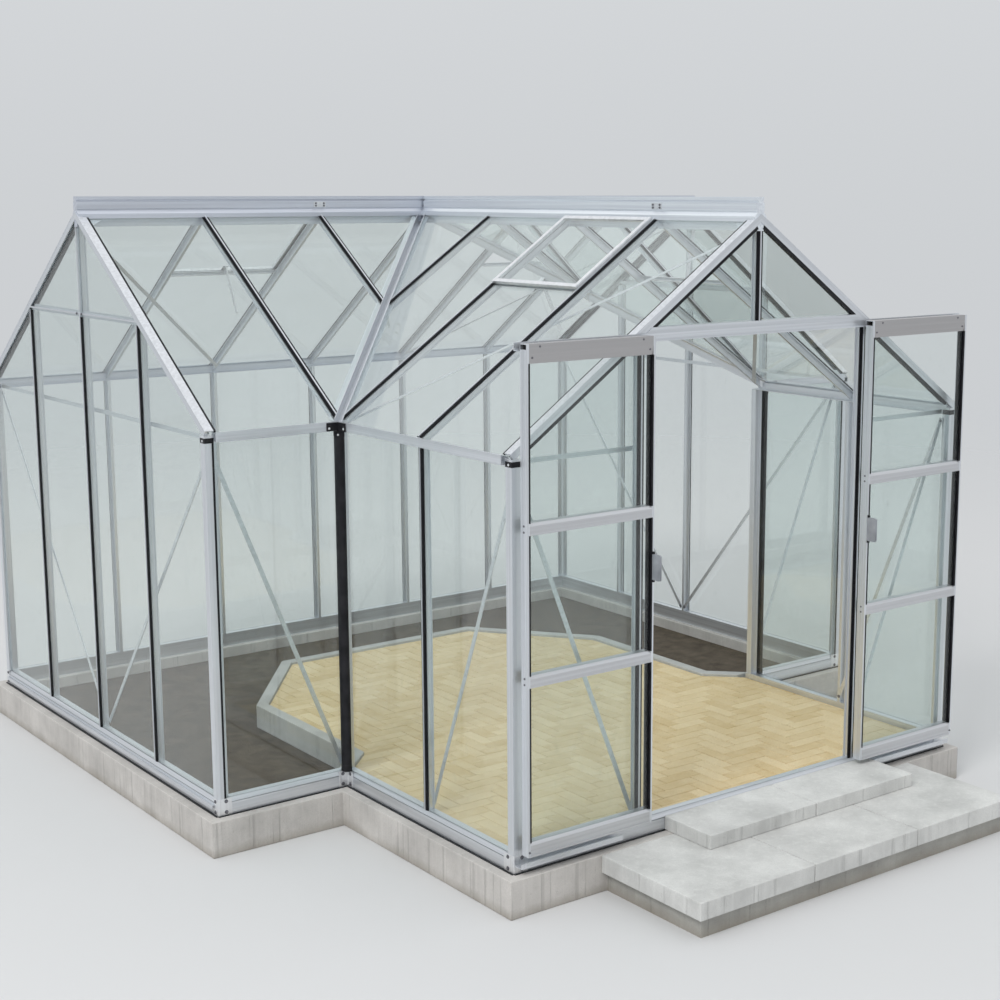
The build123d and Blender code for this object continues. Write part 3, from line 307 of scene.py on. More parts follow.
def concrete(name, tone, damp):
    """Cast concrete with pores, formwork marks and damp toward the ground."""
    graph = Graph(name)
    place = graph.place()
    height = graph.split(place)[2]
    clouds = graph.noise(place, 4.0, 6.0, 0.62)
    grain = graph.noise(place, 160.0, 5.0, 0.7)
    pores = graph.noise(place, 75.0, 2.0)
    marks = graph.noise(graph.scaled(place, (1.0, 1.0, 0.04)), 34.0, 4.0, 0.6)
    upright = graph.split(graph.node("ShaderNodeNewGeometry").outputs["Normal"])[2]
    side = graph.spread(graph.math("ABSOLUTE", upright), 0.2, 0.6, 1.0, 0.0)
    slits = graph.noise(graph.scaled(place, (1.0, 1.0, 0.02)), 46.0, 3.0, 0.55)
    slits = graph.math("MULTIPLY", graph.spread(slits, 0.60, 0.66), side)
    pale = times(tone, 1.14)
    colour = graph.blend(graph.spread(clouds, 0.3, 0.72), times(tone, 0.74), pale)
    colour = graph.blend(graph.spread(grain, 0.35, 0.7, 0.0, 0.4), colour, times(tone, 0.68))
    colour = graph.blend(graph.spread(marks, 0.52, 0.75, 0.0, 0.35), colour, pale)
    colour = graph.blend(graph.math("MULTIPLY", slits, 0.28), colour, times(tone, 0.42))
    rise = graph.math("ADD", height, graph.math("MULTIPLY", clouds, 0.06))
    colour = graph.blend(graph.spread(rise, 0.015, 0.075, damp, 0.0), colour, DAMP_EARTH)
    holes = graph.spread(pores, 0.28, 0.36)
    relief = graph.math("ADD", graph.math("MULTIPLY", grain, 0.5), graph.math("MULTIPLY", holes, 0.6))
    relief = graph.math("ADD", relief, graph.math("MULTIPLY", graph.math("MULTIPLY", marks, side), 0.8))
    relief = graph.math("SUBTRACT", relief, slits)
    rough = graph.spread(grain, 0.3, 0.7, 0.78, 0.95)
    return graph.finish(graph.shader(colour, rough, graph.bump(relief, 0.0022, 0.8)))


def paving(name):
    """Yellow clay pavers, each with its own shade."""
    graph = Graph(name)
    place = graph.place()
    tint = graph.node("ShaderNodeAttribute", attribute_name="tint").outputs["Fac"]
    clouds = graph.noise(place, 9.0, 5.0, 0.6)
    grain = graph.noise(place, 190.0, 4.0, 0.7)
    colour = graph.blend(graph.spread(tint, 0.0, 1.0), (0.64, 0.49, 0.26), (0.76, 0.62, 0.38))
    colour = graph.blend(graph.spread(clouds, 0.42, 0.75, 0.0, 0.5), colour, (0.82, 0.70, 0.47))
    colour = graph.blend(graph.spread(grain, 0.45, 0.75, 0.0, 0.4), colour, (0.42, 0.32, 0.19))
    rough = graph.spread(grain, 0.3, 0.7, 0.75, 0.92)
    return graph.finish(graph.shader(colour, rough, graph.bump(grain, 0.0012, 0.7)))


def bed_fill(name):
    """Sand under and between the pavers, and dark fill in the bottom of the planting beds."""
    graph = Graph(name)
    place = graph.place()
    clouds = graph.noise(place, 11.0, 6.0, 0.65)
    grain = graph.noise(place, 120.0, 6.0, 0.75)
    earth = graph.blend(graph.spread(clouds, 0.3, 0.7), (0.055, 0.042, 0.030), (0.135, 0.105, 0.075))
    earth = graph.blend(graph.spread(grain, 0.5, 0.75, 0.0, 0.6), earth, (0.22, 0.18, 0.13))
    sand = graph.blend(graph.spread(grain, 0.3, 0.7), (0.34, 0.27, 0.16), (0.52, 0.43, 0.29))
    colour = graph.blend(graph.spread(graph.split(place)[2], 0.125, 0.13), earth, sand)
    return graph.finish(graph.shader(colour, 0.95, graph.bump(grain, 0.006, 1.0)))


# Directions of the bars
X_WAY, Y_WAY, Z_WAY = (1, 0, 0), (0, 1, 0), (0, 0, 1)
SIDE_FALL = (0, cos(PITCH), -sin(PITCH))
STEM_FALL = (cos(PITCH), 0, -sin(PITCH))
VALLEY_FALL = (1, -1, -tan(PITCH))

uprights = aluminium("alu_uprights", Z_WAY)
# The ridges are one aluminium in two tones: the cross ridge's darker tone is painted shade, and the stem
# ridge's paler tone is painted light.
shaded_ridge_x = aluminium("alu_ridge_x", X_WAY, tone=(0.66, 0.69, 0.76))
lit_ridge_y = aluminium("alu_ridge_y", Y_WAY, tone=(0.86, 0.90, 0.96))
falls_cross = aluminium("alu_falls_cross", SIDE_FALL, "Y")
falls_stem = aluminium("alu_falls_stem", STEM_FALL, "X")
valleys = aluminium("alu_valleys", VALLEY_FALL, "X")
levels = aluminium("alu_levels", X_WAY, other=Y_WAY, where=along_y)
level_x = aluminium("alu_level_x", X_WAY)
doors = aluminium("alu_doors", X_WAY, other=Z_WAY, where=on_stiles, dim=on_boards)
plain = aluminium("alu_plain", (1, 1, 0.4), "XY", (0.76, 0.78, 0.81))
# Paler aluminium for the vent frames, stays, corner plates and screw heads: a painted highlight where
# they catch the sun.
bright = aluminium("alu_painted_highlight", Z_WAY, "XY", (0.86, 0.87, 0.89))
# Dark steel for the bolts and screws; the dark tone is also painted shade for the shadow ring round each
# head.
dark_steel_and_shade = aluminium("zinc_fixings", Z_WAY, "XY", (0.22, 0.22, 0.24))
pane_glass = window_glass("glass_panes")
strips = rubber("rubber_upright", Z_WAY)
black = plastic("plastic_black", (0.007, 0.007, 0.009), 0.22)
grey = plastic("plastic_grey", (0.21, 0.22, 0.24), 0.3)
steps = concrete("concrete_steps", (0.66, 0.66, 0.64), 0.2)

LOOKS = {
    "corner_posts": uprights, "inner_posts": uprights, "gable_bars": uprights, "wall_bars": uprights,
    "cross_ridge": shaded_ridge_x, "back_gutter": shaded_ridge_x, "stem_ridge": lit_ridge_y, "side_gutters": levels,
    "cross_rafters": falls_cross, "side_verges": falls_cross, "stem_rafters": falls_stem,
    "front_verges": falls_stem, "valley_rafters": valleys, "base_rail": levels,
    "gable_crossbars": levels, "door_header": level_x, "door_track": level_x, "guide_rails": levels,
    "tie_bars": levels, "wall_braces": plain, "roof_braces": plain, "vent_frames": bright,
    "vent_sills": plain, "left_door_frame": doors, "right_door_frame": doors,
    "left_door_hangers": plain, "right_door_hangers": plain, "vent_stays": bright,
    "wall_seals": strips, "left_door_seals": strips, "right_door_seals": strips,
    "cross_roof_seals": rubber("rubber_cross", SIDE_FALL, "Y"),
    "stem_roof_seals": rubber("rubber_stem", STEM_FALL, "X"),
    "corner_covers": black, "post_caps": black, "left_door_handle": grey, "right_door_handle": grey,
    "plinth": concrete("concrete_plinth", (0.575, 0.55, 0.52), 0.75),
    "step_footing": concrete("concrete_footing", (0.42, 0.41, 0.38), 0.8),
    "lower_step": steps, "upper_step": steps,
    "bed_kerbs": concrete("concrete_kerbs", (0.5, 0.5, 0.48), 0.0),
    "paved_floor": bed_fill("bed_fill"),
}
for node in ("side_gable", "front_gable", "back", "wing", "stem_side", "back_roof", "front_roof",
             "stem_roof", "vent", "left_door", "right_door"):
    LOOKS[node + "_glass"] = pane_glass

for name, look in LOOKS.items():
    mesh = nodes[name].data
    mesh.materials.clear()
    mesh.materials.append(look)

# Shapes of the pieces
SUNK = -0.0004
FINE_EDGE = 0.0004
SMALL_BOLT, MIDDLE_BOLT = (0.0035, 0.005), (0.004, 0.006)
LARGE_SCREW = 0.0055


def ring(mesh, points):
    """New vertices at points."""
    return [mesh.verts.new(point) for point in points]


def close(mesh, low, high, material=0):
    """The sides between two rings of as many points."""
    for number in range(len(low)):
        after = (number + 1) % len(low)
        face = mesh.faces.new((low[number], low[after], high[after], high[number]))
        face.material_index = material


def stack(mesh, rings, material=0):
    """A closed solid through rings of points, bottom to top."""
    made = [ring(mesh, points) for points in rings]
    for low, high in zip(made, made[1:]):
        close(mesh, low, high, material)
    for cap in (made[0][::-1], made[-1]):
        mesh.faces.new(cap).material_index = material


def frame_of(normal):
    """Two directions square to a normal and to each other."""
    normal = normal.normalized()
    across = normal.cross(UP)
    if across.length < 0.01:
        across = RIGHT.copy()
    across.normalize()
    return across, normal.cross(across).normalized(), normal


def disc(place, normal, radius, lift, sides):
    """Points round a place, square to a normal and lifted along it."""
    across, up, normal = frame_of(normal)
    points = []
    for number in range(sides):
        angle = 2 * pi * number / sides
        points.append(place + across * radius * cos(angle) + up * radius * sin(angle) + normal * lift)
    return points


def bolt(mesh, place, normal, size=0.0055, washer=0.0085):
    """Hexagon bolt head on a washer, sunk a little into what carries it."""
    stack(mesh, [disc(place, normal, washer, SUNK, 14), disc(place, normal, washer, 0.0012, 14)])
    heights = ((size, 0.001), (size, 0.0042), (size * 0.82, 0.005))
    stack(mesh, [disc(place, normal, radius, lift, 6) for radius, lift in heights])


def screw(mesh, place, normal, size=0.0045):
    """Round screw head with a small socket."""
    rings = ((size, SUNK), (size, 0.0008), (size * 0.8, 0.0022))
    rings += ((size * 0.45, 0.0027), (size * 0.4, 0.0014))
    stack(mesh, [disc(place, normal, radius, lift, 12) for radius, lift in rings])


def plate(mesh, corner, across, up, normal, thick, edge=0.0006):
    """Flat plate with softened edges: its corner, its two sides and its thickness along a normal."""
    normal = normal.normalized()
    wide, high = across.normalized() * edge, up.normalized() * edge

    def outline(lift, inset):
        start = corner + normal * lift + (wide + high) * inset
        side, rise = across - wide * 2 * inset, up - high * 2 * inset
        return [start, start + side, start + side + rise, start + rise]

    rings = [outline(SUNK, 0), outline(thick - edge, 0), outline(thick, 1)]
    if across.cross(up).dot(normal) < 0:
        rings = [points[::-1] for points in rings]
    stack(mesh, rings)


def finish_piece(name, mesh, body, looks):
    """A piece from its mesh, riding on a body."""
    bmesh.ops.recalc_face_normals(mesh, faces=mesh.faces)
    data = bpy.data.meshes.new(name)
    mesh.to_mesh(data)
    mesh.free()
    for look in looks:
        data.materials.append(look)
    made = bpy.data.objects.new(name, data)
    bpy.context.scene.collection.objects.link(made)
    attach(made, body)
    return made


def cut_large_faces(mesh, faces):
    """Triangles in place of the faces that have more than four corners."""
    bmesh.ops.triangulate(mesh, faces=[face for face in faces if len(face.verts) > 4])


# Outlines on the ground
KERB_SIDE, KERB_TURN, KERB_BACK, KERB_BACK_HALF = 1.07, 0.12, 0.5, 0.6
KERB_LINE = [(KERB_SIDE, -KERB_SIDE), (KERB_SIDE, -KERB_TURN), (KERB_BACK_HALF, KERB_BACK)]
KERB_WIDTH, KERB_TOP = 0.060, 0.220
FLOOR_FRONT = PROUD + RAIL_DEEP - FRONT_END


def mirrored(places):
    """Places on the right side of the plan, closed by their mirror image."""
    return places + [(-x, y) for x, y in places[::-1]]


def raised(places, height):
    """Places of the plan at a height."""
    return [Vector((x, y, height)) for x, y in places]


def plan_outline(out):
    """The house's plan, moved outward."""
    near, far, front = HALF + out, SIDE_END + out, FRONT_END + out
    return mirrored([(near, -front), (near, -near), (far, -near), (far, near)])


def beside(chain, distance):
    """A chain of places moved to its right, with mitred corners."""
    ways = [(Vector(end) - Vector(start)).normalized() for start, end in zip(chain, chain[1:])]
    sides = [Vector((way.y, -way.x)) for way in ways]
    moved = []
    for number, place in enumerate(chain):
        before = sides[max(number - 1, 0)]
        after = sides[min(number, len(sides) - 1)]
        moved.append(Vector(place) + (before + after) * (distance / (1 + before.dot(after))))
    return moved


def clipped(outline, start, end):
    """The part of a convex outline on the left of the line from start to end."""
    kept = []
    way = end - start
    sides = [way.cross(point - start) for point in outline]
    for number, point in enumerate(outline):
        after = (number + 1) % len(outline)
        if sides[number] >= 0:
            kept.append(point)
        if sides[number] * sides[after] < 0:
            share = sides[number] / (sides[number] - sides[after])
            kept.append(point.lerp(outline[after], share))
    return kept


def within(outline, region):
    """The part of a convex outline inside a convex region."""
    for number, start in enumerate(region):
        end = region[(number + 1) % len(region)]
        if outline:
            outline = clipped(outline, Vector(start), Vector(end))
    return outline


def inset(outline, amount):
    """A convex outline with each side moved inward."""
    made = outline
    for number, start in enumerate(outline):
        way = outline[(number + 1) % len(outline)] - start
        if way.length < 1e-6:
            continue
        inward = Vector((-way.y, way.x)).normalized() * amount
        made = clipped(made, start + inward, start + inward + way)
    return made


def area(outline):
    """Area of an outline that runs to the left."""
    return 0.5 * sum(a.cross(b) for a, b in zip(outline, outline[1:] + outline[:1]))


# Pavers and their sand
PAVER_WIDTH = 0.068
PAVER_LENGTH = 3 * PAVER_WIDTH
PAVER_DEPTH = 0.030
SMALLEST_PAVER = 0.0002
JOINT = 0.0035
CHAMFER = 0.0022
SETTLE, SETTLE_STEP = 0.0012, 12.9898
SHADE_STEP, SHADE_SPREAD = 78.233, 43758.5453
PATTERN_STEPS, PATTERN_REACH = 26, 3.2


def herringbone():
    """Outlines of pavers laid square to the house, over more than its whole plan."""
    for step in range(-3 * PATTERN_STEPS, 3 * PATTERN_STEPS):
        for strip in range(-PATTERN_STEPS, PATTERN_STEPS):
            x = step * PAVER_WIDTH + strip * PAVER_LENGTH
            y = step * PAVER_WIDTH - strip * PAVER_LENGTH
            if max(abs(x), abs(y)) < PATTERN_REACH:
                yield x, y, PAVER_LENGTH, PAVER_WIDTH
                yield x + PAVER_LENGTH, y + PAVER_WIDTH - PAVER_LENGTH, PAVER_WIDTH, PAVER_LENGTH


def paved_regions():
    """The floor's two convex regions: the stem, and the crossing as far as the kerbs."""
    stem = [(-RAIL_INSIDE, FLOOR_FRONT), (RAIL_INSIDE, FLOOR_FRONT), (RAIL_INSIDE, -RAIL_INSIDE),
            (KERB_SIDE, -KERB_SIDE), (-KERB_SIDE, -KERB_SIDE), (-RAIL_INSIDE, -RAIL_INSIDE)]
    cross = [(-KERB_SIDE, -KERB_SIDE), *KERB_LINE, (-KERB_BACK_HALF, KERB_BACK), (-KERB_SIDE, -KERB_TURN)]
    return stem, cross


def lay_paver(mesh, tint, body, top, count):
    """One paver with a chamfered top, a little settled and with its own shade."""
    settled = SETTLE * abs(sin(count * SETTLE_STEP))
    heights = ((body, -PAVER_DEPTH), (body, -CHAMFER), (top, 0.0))
    before = len(mesh.faces)
    stack(mesh, [raised(points, FLOOR_TOP + lift - settled) for points, lift in heights])
    mesh.faces.ensure_lookup_table()
    shade = (sin(count * SHADE_STEP) * SHADE_SPREAD) % 1.0
    for face in mesh.faces[before:]:
        face[tint] = shade


def add_sand(mesh):
    """Slab at the level of the beds, and the sand on it up to the pavers."""
    first = len(mesh.faces)
    slab = plan_outline(-PLINTH_IN)
    low = mirrored(slab[:2] + KERB_LINE)
    high = mirrored([(RAIL_INSIDE, FLOOR_FRONT), (RAIL_INSIDE, -RAIL_INSIDE)] + KERB_LINE)
    heights = ((low, BED_LEVEL - 0.001), (low, GROUND_TOP), (high, GROUND_TOP + 0.0002), (high, SAND_TOP))
    stack(mesh, [raised(slab, 0.0), raised(slab, BED_LEVEL)], 1)
    stack(mesh, [raised(places, height) for places, height in heights], 1)
    bmesh.ops.recalc_face_normals(mesh, faces=mesh.faces)
    mesh.faces.ensure_lookup_table()
    cut_large_faces(mesh, mesh.faces[first:])


def add_pavers():
    """Pavers on their sand, in place of the floor's node."""
    mesh = bmesh.new()
    tint = mesh.faces.layers.float.new("tint")
    count = 0
    for x, y, wide, deep in herringbone():
        places = ((x, y), (x + wide, y), (x + wide, y + deep), (x, y + deep))
        corners = [Vector(place) for place in places]
        for region in paved_regions():
            outline = within(corners, region)
            if len(outline) < 3 or area(outline) < SMALLEST_PAVER:
                continue
            count += 1
            body = inset(outline, JOINT / 2)
            top = inset(body, CHAMFER)
            if len(body) == len(top) and len(body) >= 3:
                lay_paver(mesh, tint, body, top, count)
    add_sand(mesh)
    looks = [paving("clay_pavers"), LOOKS["paved_floor"]]
    made = finish_piece("pavers", mesh, "house", looks)
    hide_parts("paved_floor")


# Cast concrete
CAST_EDGE = 0.004
SHARP, FLAT = 0.5, 0.001
MERGE = 0.00001


def kerb_mesh():
    """Kerbs between the pavers and the planting beds, from one inner corner of the plan to the other."""
    inner = mirrored([(PLINTH_INSIDE, -PLINTH_INSIDE)] + KERB_LINE)
    outer = [tuple(place) for place in beside(inner, KERB_WIDTH)]
    outer[0] = (PLINTH_INSIDE + KERB_WIDTH * sqrt(2), -PLINTH_INSIDE)
    outer[-1] = (-outer[0][0], outer[0][1])
    outline = inner + outer[::-1]
    mesh = bmesh.new()
    stack(mesh, [raised(outline, BED_LEVEL), raised(outline, KERB_TOP)])
    return mesh


def plinth_mesh():
    """The plinth, a ring round the plan."""
    outer, inner = plan_outline(PLINTH_OUT), plan_outline(-PLINTH_IN)
    mesh = bmesh.new()
    loops = []
    for places, height in ((outer, 0.0), (outer, GROUND_TOP), (inner, GROUND_TOP), (inner, 0.0)):
        loops.append(ring(mesh, raised(places, height)))
    for number, loop in enumerate(loops):
        close(mesh, loop, loops[(number + 1) % len(loops)])
    return mesh


def node_mesh(node):
    """A node's mesh, with its flat faces whole."""
    mesh = bmesh.new()
    mesh.from_mesh(nodes[node].data)
    bmesh.ops.remove_doubles(mesh, verts=mesh.verts, dist=MERGE)
    bmesh.ops.dissolve_limit(mesh, angle_limit=FLAT, verts=mesh.verts, edges=mesh.edges)
    return mesh


def add_cast(node, mesh):
    """A cast piece in place of a node, with its sharp edges rounded."""
    bmesh.ops.recalc_face_normals(mesh, faces=mesh.faces)
    sharp = [edge for edge in mesh.edges if edge.is_manifold and edge.calc_face_angle() > SHARP]
    bmesh.ops.bevel(mesh, geom=sharp, offset=CAST_EDGE, segments=2, profile=0.5, affect="EDGES")
    cut_large_faces(mesh, mesh.faces)
    made = finish_piece(node + "_cast", mesh, "house", [LOOKS[node]])
    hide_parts(node)


# Plates and bolts
PLATE_THICK = 0.002
LONG_FACE, SHORT_FACE, INNER_FACE = 0.066, 0.034, 0.045
LONG_BOLT, SHORT_BOLT, INNER_BOLT = 0.038, 0.022, 0.026
BOLT_LOW, BOLT_HIGH = 0.016, 0.064


def corner_face(plates, bolts, corner, along_wall, normal, length, bolt_place):
    """One side of a corner plate on the base rail, with its two bolts."""
    start = corner + UP * GROUND_TOP
    plate(plates, start, along_wall * length, UP * RAIL_HIGH, normal, PLATE_THICK)
    for height in (BOLT_LOW, BOLT_HIGH):
        place = start + along_wall * bolt_place + UP * height + normal * PLATE_THICK
        bolt(bolts, place, normal)


def add_corner_plates():
    """Folded plates round the corners of the base rail. Gives the mesh of the house's bolts."""
    plates, bolts = bmesh.new(), bmesh.new()
    for side in (1, -1):
        out = RIGHT * side
        for x, y, end in ((SIDE_END, HALF, 1), (SIDE_END, -HALF, -1), (HALF, -FRONT_END, -1)):
            corner = Vector((side * x, y, 0))
            toward = BACK * end
            length, bolt_place = (SHORT_FACE, SHORT_BOLT) if x == SIDE_END else (LONG_FACE, LONG_BOLT)
            corner_face(plates, bolts, corner, -toward, out, length, bolt_place)
            corner_face(plates, bolts, corner, -out, toward, LONG_FACE, LONG_BOLT)
        inner = Vector((side * HALF, -HALF, 0))
        corner_face(plates, bolts, inner, out, FRONT, INNER_FACE, INNER_BOLT)
        corner_face(plates, bolts, inner, FRONT, out, INNER_FACE, INNER_BOLT)
    finish_piece("corner_plates", plates, "house", [bright])
    return bolts


RIDGE_HALF = 0.021
JOINT_LONG, JOINT_HIGH, JOINT_DROP = 0.07, 0.028, 0.056
JOINT_BOLTS_ALONG, JOINT_BOLTS_UP = (0.012, 0.058), (0.008, 0.020)


def add_ridge_plates(bolts):
    """Joint plates with four bolts on both faces of the ridges."""
    plates = bmesh.new()
    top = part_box("stem_ridge")[1].z
    places = [(Vector((side * RIDGE_HALF, -MODULE * 3, 0)), RIGHT * side, BACK) for side in (1, -1)]
    for side in (1, -1):
        for end in (1, -1):
            places.append((Vector((side * MODULE, end * RIDGE_HALF, 0)), BACK * end, RIGHT))
    for middle, normal, way in places:
        corner = middle - way * (JOINT_LONG / 2) + UP * (top - JOINT_DROP)
        plate(plates, corner, way * JOINT_LONG, UP * JOINT_HIGH, normal, PLATE_THICK)
        for reach in JOINT_BOLTS_ALONG:
            for height in JOINT_BOLTS_UP:
                place = corner + way * reach + UP * height + normal * PLATE_THICK
                bolt(bolts, place, normal, *SMALL_BOLT)
    finish_piece("ridge_plates", plates, "house", [plain])


CROSSING_OUT, CROSSING_AHEAD, CROSSING_DROPS = 0.013, 0.026, (0.022, 0.050)


def add_crossing_bolts(bolts):
    """Bolts where the stem's ridge joins the cross ridge, on both of its sides."""
    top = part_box("stem_ridge")[1].z
    for side in (1, -1):
        for drop in CROSSING_DROPS:
            place = Vector((side * CROSSING_OUT, -CROSSING_AHEAD, top - drop))
            bolt(bolts, place, RIGHT * side, *SMALL_BOLT)


BRACE_LOW, BRACE_HIGH = 0.256, 1.768
BRACE_IN, BRACE_END, BRACE_GAP = 0.041, 0.040, 0.010
BOLT_INSET = 0.012


def add_brace_bolts(bolts):
    """A bolt at each end of the flat braces."""
    wall = WALL - BRACE_IN
    gable, front = SIDE_END - PROUD - BRACE_IN, FRONT_END - PROUD - BRACE_IN
    for side in (1, -1):
        out = RIGHT * side
        braces = (
            ((gable, HALF - BRACE_END), (gable, BRACE_GAP), -out),
            ((gable, BRACE_END - HALF), (gable, -BRACE_GAP), -out),
            ((SIDE_END - BRACE_END, -wall), (HALF, -wall), BACK),
            ((wall, BRACE_END - FRONT_END), (wall, -SIDE_END), -out),
            ((HALF - BRACE_END, -front), (MODULE, -front), BACK),
        )
        for (high_x, high_y), (low_x, low_y), normal in braces:
            first = Vector((side * high_x, high_y, BRACE_HIGH))
            last = Vector((side * low_x, low_y, BRACE_LOW))
            way = (last - first).normalized()
            bolt(bolts, first + way * BOLT_INSET, normal)
            bolt(bolts, last - way * BOLT_INSET, normal)


# Trim of the verges
RIDGE_CREST = 0.080
LIP_RUN, EAVE_RUN = 0.034, 1.285
COVER_WIDE, COVER_THICK = 0.040, 0.0015
COVER_LAP = 0.0005
EDGE_STRIP = 0.011
VERGE_FACE = 0.020
FACE_STRIP, FACE_STRIP_BACK, FACE_STRIP_PROUD, FACE_STRIP_END = 0.014, 0.001, 0.0075, 1.235
LINING_IN, LINING_DEEP, LINING_THICK = 0.030, 0.020, 0.003
LINING_START, LINING_SHORT = 0.02, 0.05
GUSSET_LONG, GUSSET_DEEP, GUSSET_THICK = 0.080, 0.060, 0.002


def slopes():
    """Each gable's two slopes: the way out of the gable, the glass face's distance, and the way down."""
    for side in (1, -1):
        for way in (BACK, FRONT):
            yield RIGHT * side, SIDE_END - PROUD, way
        yield FRONT, FRONT_END - PROUD, RIGHT * side


def slope_frame(out, distance, way):
    """Start on the ridge line at a gable's glass face, the way down the slope, and the way out of it."""
    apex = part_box("cross_ridge")[1].z - RIDGE_CREST
    start = out * distance + UP * apex
    down = way * cos(PITCH) - UP * sin(PITCH)
    lift = way * sin(PITCH) + UP * cos(PITCH)
    return start, down, lift


def sloped_bar(mesh, slope, out, span, height, run):
    """Bar along a slope: its reach out of the gable, its heights off the glass and its run."""
    start, down, lift = slope
    length = (run[1] - run[0]) / cos(PITCH)
    corner = start + down * (run[0] / cos(PITCH)) + out * span[0] + lift * height[0]
    plate(mesh, corner, down * length, out * (span[1] - span[0]), lift, height[1] - height[0], FINE_EDGE)


def add_verge_trim():
    """Wide covers on the verges, black strips beside them, linings under them and gussets at the top."""
    covers, edges, gussets = bmesh.new(), bmesh.new(), bmesh.new()
    inner = PROUD - COVER_WIDE
    run = (LIP_RUN, EAVE_RUN)
    top = (RIB_PROUD, RIB_PROUD + COVER_THICK)
    face = (-VERGE_FACE - FACE_STRIP, -VERGE_FACE)
    lining = (-LINING_DEEP - LINING_THICK, -LINING_DEEP)
    lining_run = (LINING_START, EAVE_RUN - LINING_SHORT)
    for out, distance, way in slopes():
        slope = slope_frame(out, distance, way)
        start, down, lift = slope
        sloped_bar(covers, slope, out, (inner, PROUD + COVER_LAP), top, run)
        sloped_bar(covers, slope, out, (inner, inner + COVER_THICK), (0.0, RIB_PROUD), run)
        sloped_bar(edges, slope, out, (inner - EDGE_STRIP, inner), (0.0, RIB_PROUD - COVER_LAP), run)
        if out == FRONT:
            proud = (-FACE_STRIP_BACK, FACE_STRIP_PROUD)
            sloped_bar(edges, slope, out, proud, face, (LIP_RUN, FACE_STRIP_END))
        sloped_bar(edges, slope, out, (-LINING_IN, -PANE), lining, lining_run)
        corner = start + down * (LIP_RUN / cos(PITCH)) + out * inner - lift * (PANE + COVER_LAP)
        points = [corner, corner - out * GUSSET_LONG, corner + down * GUSSET_DEEP]
        stack(gussets, [[point - lift * GUSSET_THICK for point in points], points])
    finish_piece("verge_covers", covers, "house", [plain])
    finish_piece("verge_strips", edges, "house", [black])
    finish_piece("apex_gussets", gussets, "house", [plain])


# Strips, collars and joiners of the walls
# Sizes of the black strip under the base rail, which is painted shadow of the rail on the plinth.
SHADE_STRIP_HIGH, SHADE_STRIP_DEEP, SHADE_STRIP_IN, SHADE_STRIP_LAP = 0.003, 0.0112, 0.01, 0.0012
COVER_WIDTH, COVER_ROUND = 0.034, 0.024
COLLAR_PROUD, COLLAR_FOOT, COLLAR_HEAD = 0.0015, 0.028, 0.022
COLLAR_LAP, COLLAR_STEPS = 0.001, 8
GUTTER_FACE = 1.307
JOINER_SHORT, JOINER_LONG, JOINER_RISE, JOINER_LIFT = 0.056, 0.068, 0.037, 0.005
JOINER_THICK = 0.003
BOSS, BOSS_RISE, BOSS_IN, BOSS_THICK = 0.020, 0.7, 0.002, 0.004
COVER_SCREW_OUT, COVER_SCREW_DROP = 0.86, 0.014
CROSSBAR_BOLT = 0.028


def add_base_strip():
    """Thin black strip between the base rail and the plinth, round the whole plan: painted shadow of the
    rail on the plinth.
    """
    mesh = bmesh.new()
    plan = raised(plan_outline(0.0)[::-1], GROUND_TOP)
    for number, start in enumerate(plan):
        end = plan[(number + 1) % len(plan)]
        way = (end - start).normalized()
        out = UP.cross(way) * -1
        corner = start - out * SHADE_STRIP_IN - way * SHADE_STRIP_LAP
        length = end - start + way * (2 * SHADE_STRIP_LAP)
        plate(mesh, corner, length, UP * SHADE_STRIP_HIGH, out, SHADE_STRIP_DEEP, FINE_EDGE)
    finish_piece("base_shadow_strip", mesh, "house", [black])


def add_cover_collars():
    """Dark collars at the foot and the head of the covers in the inner corners."""
    mesh = bmesh.new()
    low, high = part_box("corner_covers")
    reach = WALL + COVER_WIDTH
    radius = COVER_ROUND + COLLAR_PROUD
    for side in (1, -1):
        for foot, top in ((low.z - COLLAR_LAP, low.z + COLLAR_FOOT), (high.z - COLLAR_HEAD, high.z)):
            centre = Vector((side * (reach - COVER_ROUND), -reach + COVER_ROUND, 0))
            outline = [Vector((side * WALL, -WALL, 0)), Vector((side * WALL, -reach - COLLAR_PROUD, 0))]
            for step in range(COLLAR_STEPS + 1):
                turn = pi / 2 * step / COLLAR_STEPS
                outline.append(centre + RIGHT * side * radius * sin(turn) + FRONT * radius * cos(turn))
            outline.append(Vector((side * (reach + COLLAR_PROUD), -WALL, 0)))
            stack(mesh, [[point + UP * height for point in outline] for height in (foot, top)])
    finish_piece("cover_collars", mesh, "house", [black])


def add_joiner_side(mesh, screws, corner, way, normal, length):
    """One side of a joiner over a gutter's end, with its boss and screw."""
    boss = corner + way * (length - BOSS) + normal * BOSS_IN
    boss_high = UP * JOINER_RISE * BOSS_RISE
    head = boss + way * BOSS / 2 + boss_high / 2 + normal * BOSS_THICK
    start = corner - way * JOINER_THICK
    plate(mesh, start, way * (length + JOINER_THICK), UP * JOINER_RISE, normal, JOINER_THICK, 0.001)
    plate(mesh, boss, way * BOSS, boss_high, normal, BOSS_THICK, 0.0015)
    screw(screws, head, normal, LARGE_SCREW)


